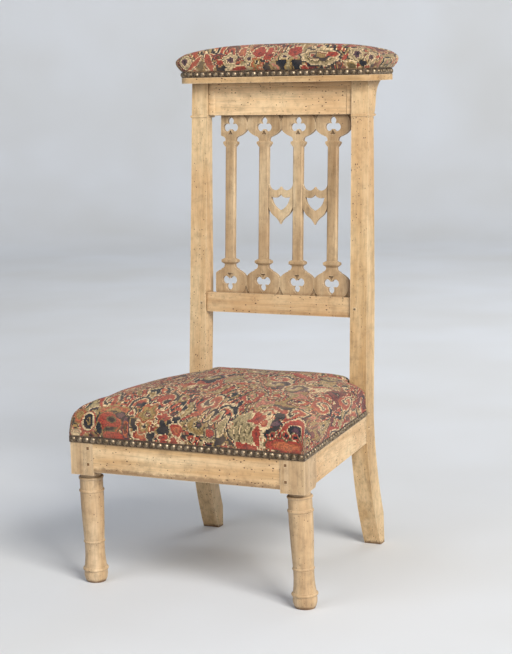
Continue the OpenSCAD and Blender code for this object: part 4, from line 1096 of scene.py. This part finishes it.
@dataclass
class Pad:
    """A stuffed pad: cloth drawn over filling and nailed down along its hem."""

    name: str
    cover: str
    stuffing: str
    crown: float
    motifs: tuple[Motif | Scroll, ...]
    cloth: float = 2 * MM
    seam: float = 6 * MM

    # The cloth simulation: how the wool resists, how the filling presses, and how far it may move
    pressure: float = 4.0
    frames: int = 20
    quality: int = 4
    mass: float = 0.3
    stretch: float = 18.0
    shear: float = 6.0
    bend: float = 1.0
    held: float = 5 * MM
    give: float = 2.5 * MM

    # Hand work: lumps of the filling, full corners, and the pulls at the nails
    lumps: float = 1.3 * MM
    lump_size: float = 48 * MM
    lumps_above: float = 18 * MM
    corner: float = 4.5 * MM
    corner_over: float = 4 * MM
    corner_fade: float = 16 * MM
    nail_pitch: float = 13.3 * MM
    pull: float = 1.1 * MM
    pull_fade: float = 10 * MM

    # The pattern: how much of it the top takes, and how steep the cloth is where it folds down
    top_share: float = 0.55
    fold_from: float = 0.25
    fold_over: float = 0.6

    shoulder: float = field(init=False, default=0.0)
    nails_from: float = field(init=False, default=0.0)

    def build(self, frame: Frame) -> bpy.types.Object:
        """Builds, stuffs and closes the pad.

        Its pattern is in two materials, for the left and the right half of the cloth, because one
        can't hold so many motifs.

        Args:
            frame: The loaded frame.

        Returns:
            The pad, riding on the chair.
        """
        low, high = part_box(self.cover)
        self.shoulder = high.z - self.crown
        self.nails_from = low.x
        front = ((low.x + high.x) / 2, low.y)
        halves = [
            Needlework(
                f"wool_needlework_gros_point_{self.name}_{side}",
                tuple(m for m in self.motifs if (m.across > self.seam / MM) == (side == "right")),
                front,
            ).make()
            for side in ("left", "right")
        ]
        skin = self._skin(frame.nodes[self.cover])
        self._stuff(skin)
        self._settle(skin)
        self._close(skin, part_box(self.stuffing)[0].z)
        self._lay_pattern(skin)
        for half in halves:
            skin.data.materials.append(half)
        for face in skin.data.polygons:
            face.material_index = int(face.center.x > front[0] + self.seam)
        skin.data.shade_smooth()
        finer = skin.modifiers.new("finer", "SUBSURF")
        finer.levels = finer.render_levels = 1
        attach(skin, "root")
        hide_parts(self.cover, self.stuffing)
        LOG.info("%s: %d faces of cloth, shoulder at %.3f m", self.name, len(skin.data.polygons), self.shoulder)
        return skin

    def _skin(self, cover: bpy.types.Object) -> bpy.types.Object:
        """Takes the outer face of the cover and makes it fine enough to move as cloth.

        Args:
            cover: The solid of the cover.

        Returns:
            A new object with the open skin.
        """
        joined, hem_slack = 0.02 * MM, 0.2 * MM
        mesh = bmesh.new()
        mesh.from_mesh(cover.data)
        bmesh.ops.remove_doubles(mesh, verts=mesh.verts, dist=joined)
        low = min(v.co.z for v in mesh.verts) + hem_slack
        hem = [f for f in mesh.faces if max(v.co.z for v in f.verts) < low]
        bmesh.ops.delete(mesh, geom=hem, context="FACES")
        top = max(mesh.verts, key=lambda v: v.co.z)
        outer, queue = {top}, [top]
        while queue:
            for edge in queue.pop().link_edges:
                for vertex in edge.verts:
                    if vertex not in outer:
                        outer.add(vertex)
                        queue.append(vertex)
        inner = [v for v in mesh.verts if v not in outer]
        bmesh.ops.delete(mesh, geom=inner, context="VERTS")
        bmesh.ops.join_triangles(
            mesh, faces=mesh.faces, angle_face_threshold=math.pi, angle_shape_threshold=math.pi
        )
        rough = bpy.data.meshes.new(self.name)
        mesh.to_mesh(rough)
        mesh.free()
        skin = bpy.data.objects.new(self.name, rough)
        bpy.context.scene.collection.objects.link(skin)
        skin.modifiers.new("fine", "SUBSURF").levels = 2
        shaped = bpy.data.meshes.new_from_object(skin.evaluated_get(bpy.context.evaluated_depsgraph_get()))
        skin.modifiers.clear()
        skin.data = shaped
        return skin

    def _stuff(self, skin: bpy.types.Object) -> None:
        """Blows the skin up a little against its nailed hem, as the filling does.

        Args:
            skin: The open skin, which is moved.
        """
        trial = bpy.data.objects.new(self.name + "_trial", skin.data.copy())
        bpy.context.scene.collection.objects.link(trial)
        mesh = bmesh.new()
        mesh.from_mesh(trial.data)
        bmesh.ops.holes_fill(mesh, edges=[e for e in mesh.edges if e.is_boundary])
        bmesh.ops.triangulate(mesh, faces=[f for f in mesh.faces if len(f.verts) > 4])
        mesh.to_mesh(trial.data)
        mesh.free()
        before = self._places(trial)
        low = before[:, 2].min() + self.held
        group = trial.vertex_groups.new(name="nailed")
        group.add([int(i) for i in np.nonzero(before[:, 2] < low)[0]], 1.0, "REPLACE")
        cloth = trial.modifiers.new("stuffed", "CLOTH")
        settings = cloth.settings
        settings.quality = self.quality
        settings.mass = self.mass
        settings.tension_stiffness = settings.compression_stiffness = self.stretch
        settings.shear_stiffness = self.shear
        settings.bending_stiffness = self.bend
        settings.use_pressure = True
        settings.uniform_pressure_force = self.pressure
        settings.effector_weights.gravity = 0.0
        settings.vertex_group_mass = group.name
        cloth.collision_settings.use_collision = False
        cloth.point_cache.frame_start, cloth.point_cache.frame_end = 1, self.frames
        scene = bpy.context.scene
        for step in range(1, self.frames + 1):
            scene.frame_set(step)
        moved = trial.evaluated_get(bpy.context.evaluated_depsgraph_get())
        after = np.array([v.co for v in moved.data.vertices], float)
        scene.frame_set(1)
        way = (after - before)[: len(skin.data.vertices)]
        far = np.linalg.norm(way, axis=1, keepdims=True)
        LOG.info("%s: the cloth moved %.1f mm at most before its cap", self.name, far.max() / MM)
        way *= self.give * np.tanh(far / self.give) / np.maximum(far, 1e-9)
        self._move(skin, self._places(skin) + way)
        bpy.data.objects.remove(trial)

    def _settle(self, skin: bpy.types.Object) -> None:
        """Adds the unevenness of hand stuffing, the full corners and the small pulls between the nails.

        Args:
            skin: The open skin, which is moved.
        """
        places = self._places(skin)
        normals = np.array([v.normal for v in skin.data.vertices], float)
        flat = normals * FLAT
        low = places[:, 2].min()
        up = np.clip((places[:, 2] - low) / self.lumps_above, 0, 1)
        uneven = np.array([noise.noise(Vector(p) / self.lump_size) for p in places])
        places = places + normals * (uneven * self.lumps * up)[:, None]
        diagonal = 2 * np.abs(normals[:, 0] * normals[:, 1])
        below = np.clip((self.shoulder + self.corner_over - places[:, 2]) / self.corner_fade, 0, 1)
        places = places + flat * (self.corner * diagonal * below)[:, None]
        side_on = np.abs(normals[:, 0]) > np.abs(normals[:, 1])
        along = np.where(side_on, places[:, 1], places[:, 0]) - self.nails_from
        between = 0.5 - 0.5 * np.cos(2 * math.pi * along / self.nail_pitch)
        fade = np.clip(1 - (places[:, 2] - low) / self.pull_fade, 0, 1) ** 2
        self._move(skin, places - flat * (self.pull * (1 - between) * fade)[:, None])

    def _close(self, skin: bpy.types.Object, base: float) -> None:
        """Turns the hem in by the thickness of the cloth and closes the pad underneath.

        Args:
            skin: The open skin, which is closed.
            base: The height of the underside of the filling.
        """
        mesh = bmesh.new()
        mesh.from_mesh(skin.data)
        mesh.normal_update()
        edges = [e for e in mesh.edges if e.is_boundary]
        inward = {v: Vector((v.normal.x, v.normal.y, 0)).normalized() for e in edges for v in e.verts}
        ring = bmesh.ops.extrude_edge_only(mesh, edges=edges)["geom"]
        turned = [g for g in ring if isinstance(g, bmesh.types.BMVert)]
        for vertex in turned:
            near = min(inward, key=lambda v: (v.co - vertex.co).length_squared)
            vertex.co -= inward[near] * self.cloth
        edges = [g for g in ring if isinstance(g, bmesh.types.BMEdge) and g.is_boundary]
        ring = bmesh.ops.extrude_edge_only(mesh, edges=edges)["geom"]
        for vertex in [g for g in ring if isinstance(g, bmesh.types.BMVert)]:
            vertex.co.z = base
        edges = [g for g in ring if isinstance(g, bmesh.types.BMEdge) and g.is_boundary]
        bmesh.ops.triangle_fill(mesh, edges=edges, use_beauty=True)
        bmesh.ops.recalc_face_normals(mesh, faces=mesh.faces)
        mesh.to_mesh(skin.data)
        mesh.free()

    def _lay_pattern(self, skin: bpy.types.Object) -> None:
        """Stores where each point lay on the flat cloth, so that the pattern folds over the shoulders.

        Args:
            skin: The closed pad.
        """
        places = self._places(skin)
        normals = np.array([v.normal for v in skin.data.vertices], float)
        steep = np.linalg.norm(normals[:, :2], axis=1)
        out = normals[:, :2] / np.maximum(steep, 1e-6)[:, None]
        turned = np.clip((steep - self.fold_from) / self.fold_over, 0, 1)
        drop = np.maximum(self.shoulder - places[:, 2], 0) * turned * turned * (3 - 2 * turned)
        plan = np.zeros_like(places)
        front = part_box(self.cover)[0].y
        plan[:, 0] = places[:, 0] + out[:, 0] * drop
        plan[:, 1] = front + (places[:, 1] - front) * self.top_share + out[:, 1] * drop
        layer = skin.data.attributes.new("plan", "FLOAT_VECTOR", "POINT")
        layer.data.foreach_set("vector", plan.astype(np.float32).ravel())

    @staticmethod
    def _places(piece: bpy.types.Object) -> np.ndarray:
        """The places of a piece's points, one row each."""
        flat = np.zeros(len(piece.data.vertices) * 3, np.float32)
        piece.data.vertices.foreach_get("co", flat)
        return flat.reshape(-1, 3).astype(float)

    @staticmethod
    def _move(piece: bpy.types.Object, places: np.ndarray) -> None:
        """Puts a piece's points at new places."""
        piece.data.vertices.foreach_set("co", places.astype(np.float32).ravel())
        piece.data.update()


@dataclass
class Joinery:
    """The wooden frame: legs, posts, rails, the pierced back and the arm board."""

    arris: float = 0.9 * MM
    fine_arris: float = 0.6 * MM
    peg_arris: float = 0.4 * MM
    gnawed_to: float = 213 * MM
    legs: tuple[str, ...] = ("front_left_leg", "front_right_leg")
    posts: tuple[str, ...] = ("rear_left_post", "rear_right_post", "left_corbel", "right_corbel")
    across: tuple[str, ...] = ("back_seat_rail", "crest_rail")
    sides: tuple[str, ...] = ("left_seat_rail", "right_seat_rail")
    balusters: tuple[str, ...] = ("baluster_1", "baluster_2", "baluster_3", "baluster_4")
    tracery: tuple[str, ...] = ("tracery_left", "tracery_right")
    pegs: tuple[str, ...] = ("seat_pegs", "back_pegs")

    def dress(self, frame: Frame) -> None:
        """Gives every wooden piece its grain, dirt, painted shade in its joints and worn edges.

        Args:
            frame: The loaded frame.
        """
        post = BleachedHardwood(
            "post", Grain.ALONG_Z, tone="#D2B58B", shade="#B69467", light="#DAC39C", holes=0.85
        )
        leg = BleachedHardwood(
            "turned_leg", Grain.ALONG_Z,
            tone="#C2A57F", shade="#957452", light="#D3BB9A", stain="#9A7650", holes=0.7,
        )
        # The balusters and tracery get a darker tone, partly their own wood and partly painted shade of the
        # recessed back.
        lattice_tone_and_shade = BleachedHardwood(
            "baluster", Grain.ALONG_Z,
            tone="#BA9F7B", shade="#8E7350", light="#CDB794", stain="#936F49", holes=0.5,
        )
        gnawed = BleachedHardwood("front_rail", Grain.ALONG_X, soil_to=self.gnawed_to, soil=0.6)
        # Painted shade: the arm board gets a darker tone for the shadow of the pad above it.
        board_with_painted_shade = BleachedHardwood("board", Grain.ALONG_X, tone="#C4A478", shade="#A38258", light="#D2B78F")
        low = BleachedHardwood("low_rail", Grain.ALONG_X, tone="#CFB188", shade="#B08B60", light="#DAC29A")
        frame.dress(self.posts, post.make(), self.arris)
        frame.dress(self.legs, leg.make(), self.arris)
        frame.dress(self.across, BleachedHardwood("rail", Grain.ALONG_X).make(), self.arris)
        frame.dress(("front_seat_rail",), gnawed.make(), self.arris)
        frame.dress(("arm_board",), board_with_painted_shade.make(), self.arris)
        frame.dress(("lower_back_rail",), low.make(), self.arris)
        frame.dress(self.sides, BleachedHardwood("side_rail", Grain.ALONG_Y).make(), self.arris)
        frame.dress(self.balusters + self.tracery, lattice_tone_and_shade.make(), self.fine_arris)
        frame.dress(self.pegs, PegWood().make(), self.peg_arris)


@dataclass
class Upholstery:
    """The webbing, the two pads, and the nailed bands round them."""

    seat_crown: float = 26 * MM
    arm_crown: float = 13.6 * MM
    arm_corner: float = 1.5 * MM
    webbing: PlainWeave = PlainWeave("jute_webbing_woven", "#B79A68", "#7D6440", thread_mm=2.2)
    hessian: PlainWeave = PlainWeave("jute_hessian_woven", "#B49B6C", "#6B5636", thread_mm=1.8)
    braid: PlainWeave = PlainWeave("cotton_braid_woven", "#6B5844", "#33281E", thread_mm=1.6)

    def build(self, frame: Frame) -> None:
        """Dresses the webbing and nails and builds the pads.

        Args:
            frame: The loaded frame.
        """
        frame.dress(("webbing_long", "webbing_cross"), self.webbing.make())
        frame.dress(("seat_hessian",), self.hessian.make())
        frame.dress(("seat_band", "arm_band"), self.braid.make())
        frame.dress(("webbing_tacks",), BluedSteel().make())
        frame.dress(("seat_nails", "arm_nails"), AgedBrass().make())
        Pad("seat_pad", "seat_cover", "seat_stuffing", self.seat_crown, SEAT_MOTIFS).build(frame)
        Pad(
            "arm_pad", "arm_cover", "arm_stuffing", self.arm_crown, ARM_MOTIFS, corner=self.arm_corner
        ).build(frame)


@dataclass(frozen=True)
class SoftLamp:
    """A soft square lamp, aimed at the middle of the chair unless said otherwise."""

    name: str
    place: Point
    side: float
    watts: float
    colour: str
    aim: Point = (0.0, 0.0, 0.45)

    def hang(self) -> None:
        """Hangs the lamp at its place and turns it to its aim."""
        data = bpy.data.lights.new(self.name, "AREA")
        data.size = self.side
        data.energy = self.watts
        data.color = linear(self.colour)[:3]
        lamp = bpy.data.objects.new(self.name, data)
        lamp.location = self.place
        lamp.rotation_euler = (Vector(self.aim) - Vector(self.place)).to_track_quat("-Z", "Y").to_euler()
        bpy.context.scene.collection.objects.link(lamp)
        LOG.info("%s lamp: %.0f W", self.name, self.watts)


@dataclass
class Studio:
    """The camera, the pale floor and the soft lights."""

    camera_place: Point = (1.3583, -2.7994, 0.9130)
    yaw: float = 25.52
    pitch: float = 8.70
    roll: float = -1.31
    focal_px: float = 1731.9
    image_px: tuple[int, int] = (512, 654)
    sensor_mm: float = 36.0

    floor_r: float = 5.4
    wall_curve: float = 1.6
    wall_h: float = 5.0
    bends: int = 12
    sides: int = 96

    lamps: tuple[SoftLamp, ...] = (
        SoftLamp("key", (3.8, -2.8, 3.3), side=2.4, watts=362.0, colour="#FFFAF2"),
        SoftLamp("fill", (-1.2, -2.6, 4.0), side=2.2, watts=38.0, colour="#F4F7FF"),
        SoftLamp("backdrop", (0.5, 2.2, 3.8), side=2.0, watts=90.0, colour="#FFFFFF", aim=(-1.2, 5.6, 1.0)),
    )
    air: str = "#E9ECF0"
    air_light: float = 0.22

    def build(self) -> None:
        """Builds the camera, the floor and the lights."""
        self._camera()
        self._floor()
        for lamp in self.lamps:
            lamp.hang()
        bpy.context.scene.view_settings.view_transform = "Standard"
        world = bpy.data.worlds.new("soft_air")
        bpy.context.scene.world = world
        world.use_nodes = True
        air = world.node_tree.nodes["Background"]
        air.inputs["Color"].default_value = linear(self.air)
        air.inputs["Strength"].default_value = self.air_light

    def _camera(self) -> None:
        """Sets the camera at the photograph's viewing angle."""
        yaw, pitch, roll = (math.radians(a) for a in (self.yaw, self.pitch, self.roll))
        ahead = Vector((-math.sin(yaw) * math.cos(pitch), math.cos(yaw) * math.cos(pitch), -math.sin(pitch)))
        right = Vector((math.cos(yaw), math.sin(yaw), 0.0))
        up = right.cross(ahead)
        tilted = right * math.cos(roll) + up * math.sin(roll)
        above = up * math.cos(roll) - right * math.sin(roll)
        data = bpy.data.cameras.new("camera")
        data.sensor_width = self.sensor_mm
        data.sensor_fit = "AUTO"
        data.lens = self.focal_px / max(self.image_px) * self.sensor_mm
        camera = bpy.data.objects.new("camera", data)
        turn = Matrix((tilted, above, -ahead)).transposed().to_4x4()
        camera.matrix_world = Matrix.Translation(self.camera_place) @ turn
        bpy.context.scene.collection.objects.link(camera)
        bpy.context.scene.camera = camera

    def _floor(self) -> None:
        """Lays a round pale floor that sweeps up into a wall all round the chair."""
        profile = [(self.floor_r, 0.0)]
        for k in range(1, self.bends + 1):
            turn = math.pi / 2 * k / self.bends
            out, up = self.wall_curve * math.sin(turn), self.wall_curve * (1 - math.cos(turn))
            profile.append((self.floor_r + out, up))
        profile.append((self.floor_r + self.wall_curve, self.wall_h))
        angles = [2 * math.pi * k / self.sides for k in range(self.sides)]
        points = [(r * math.cos(angle), r * math.sin(angle), z) for r, z in profile for angle in angles]
        faces = [tuple(range(self.sides))]
        for start in range(0, (len(profile) - 1) * self.sides, self.sides):
            for k in range(self.sides):
                here, after = start + k, start + (k + 1) % self.sides
                faces.append((after, here, here + self.sides, after + self.sides))
        mesh = bpy.data.meshes.new("floor")
        mesh.from_pydata(points, [], faces)
        mesh.shade_smooth()
        mesh.materials.append(PaintedFloor().make())
        floor = bpy.data.objects.new("floor", mesh)
        bpy.context.scene.collection.objects.link(floor)
        LOG.info("floor: %d faces, %.1f m across", len(faces), 2 * (self.floor_r + self.wall_curve))


def main() -> None:
    """Dresses the chair."""
    logging.basicConfig(level=logging.INFO, format="%(name)s %(message)s")
    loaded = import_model()
    frame = Frame(loaded["nodes"])
    Studio().build()
    Joinery().dress(frame)
    Upholstery().build(frame)


if __name__ == "__main__":
    main()
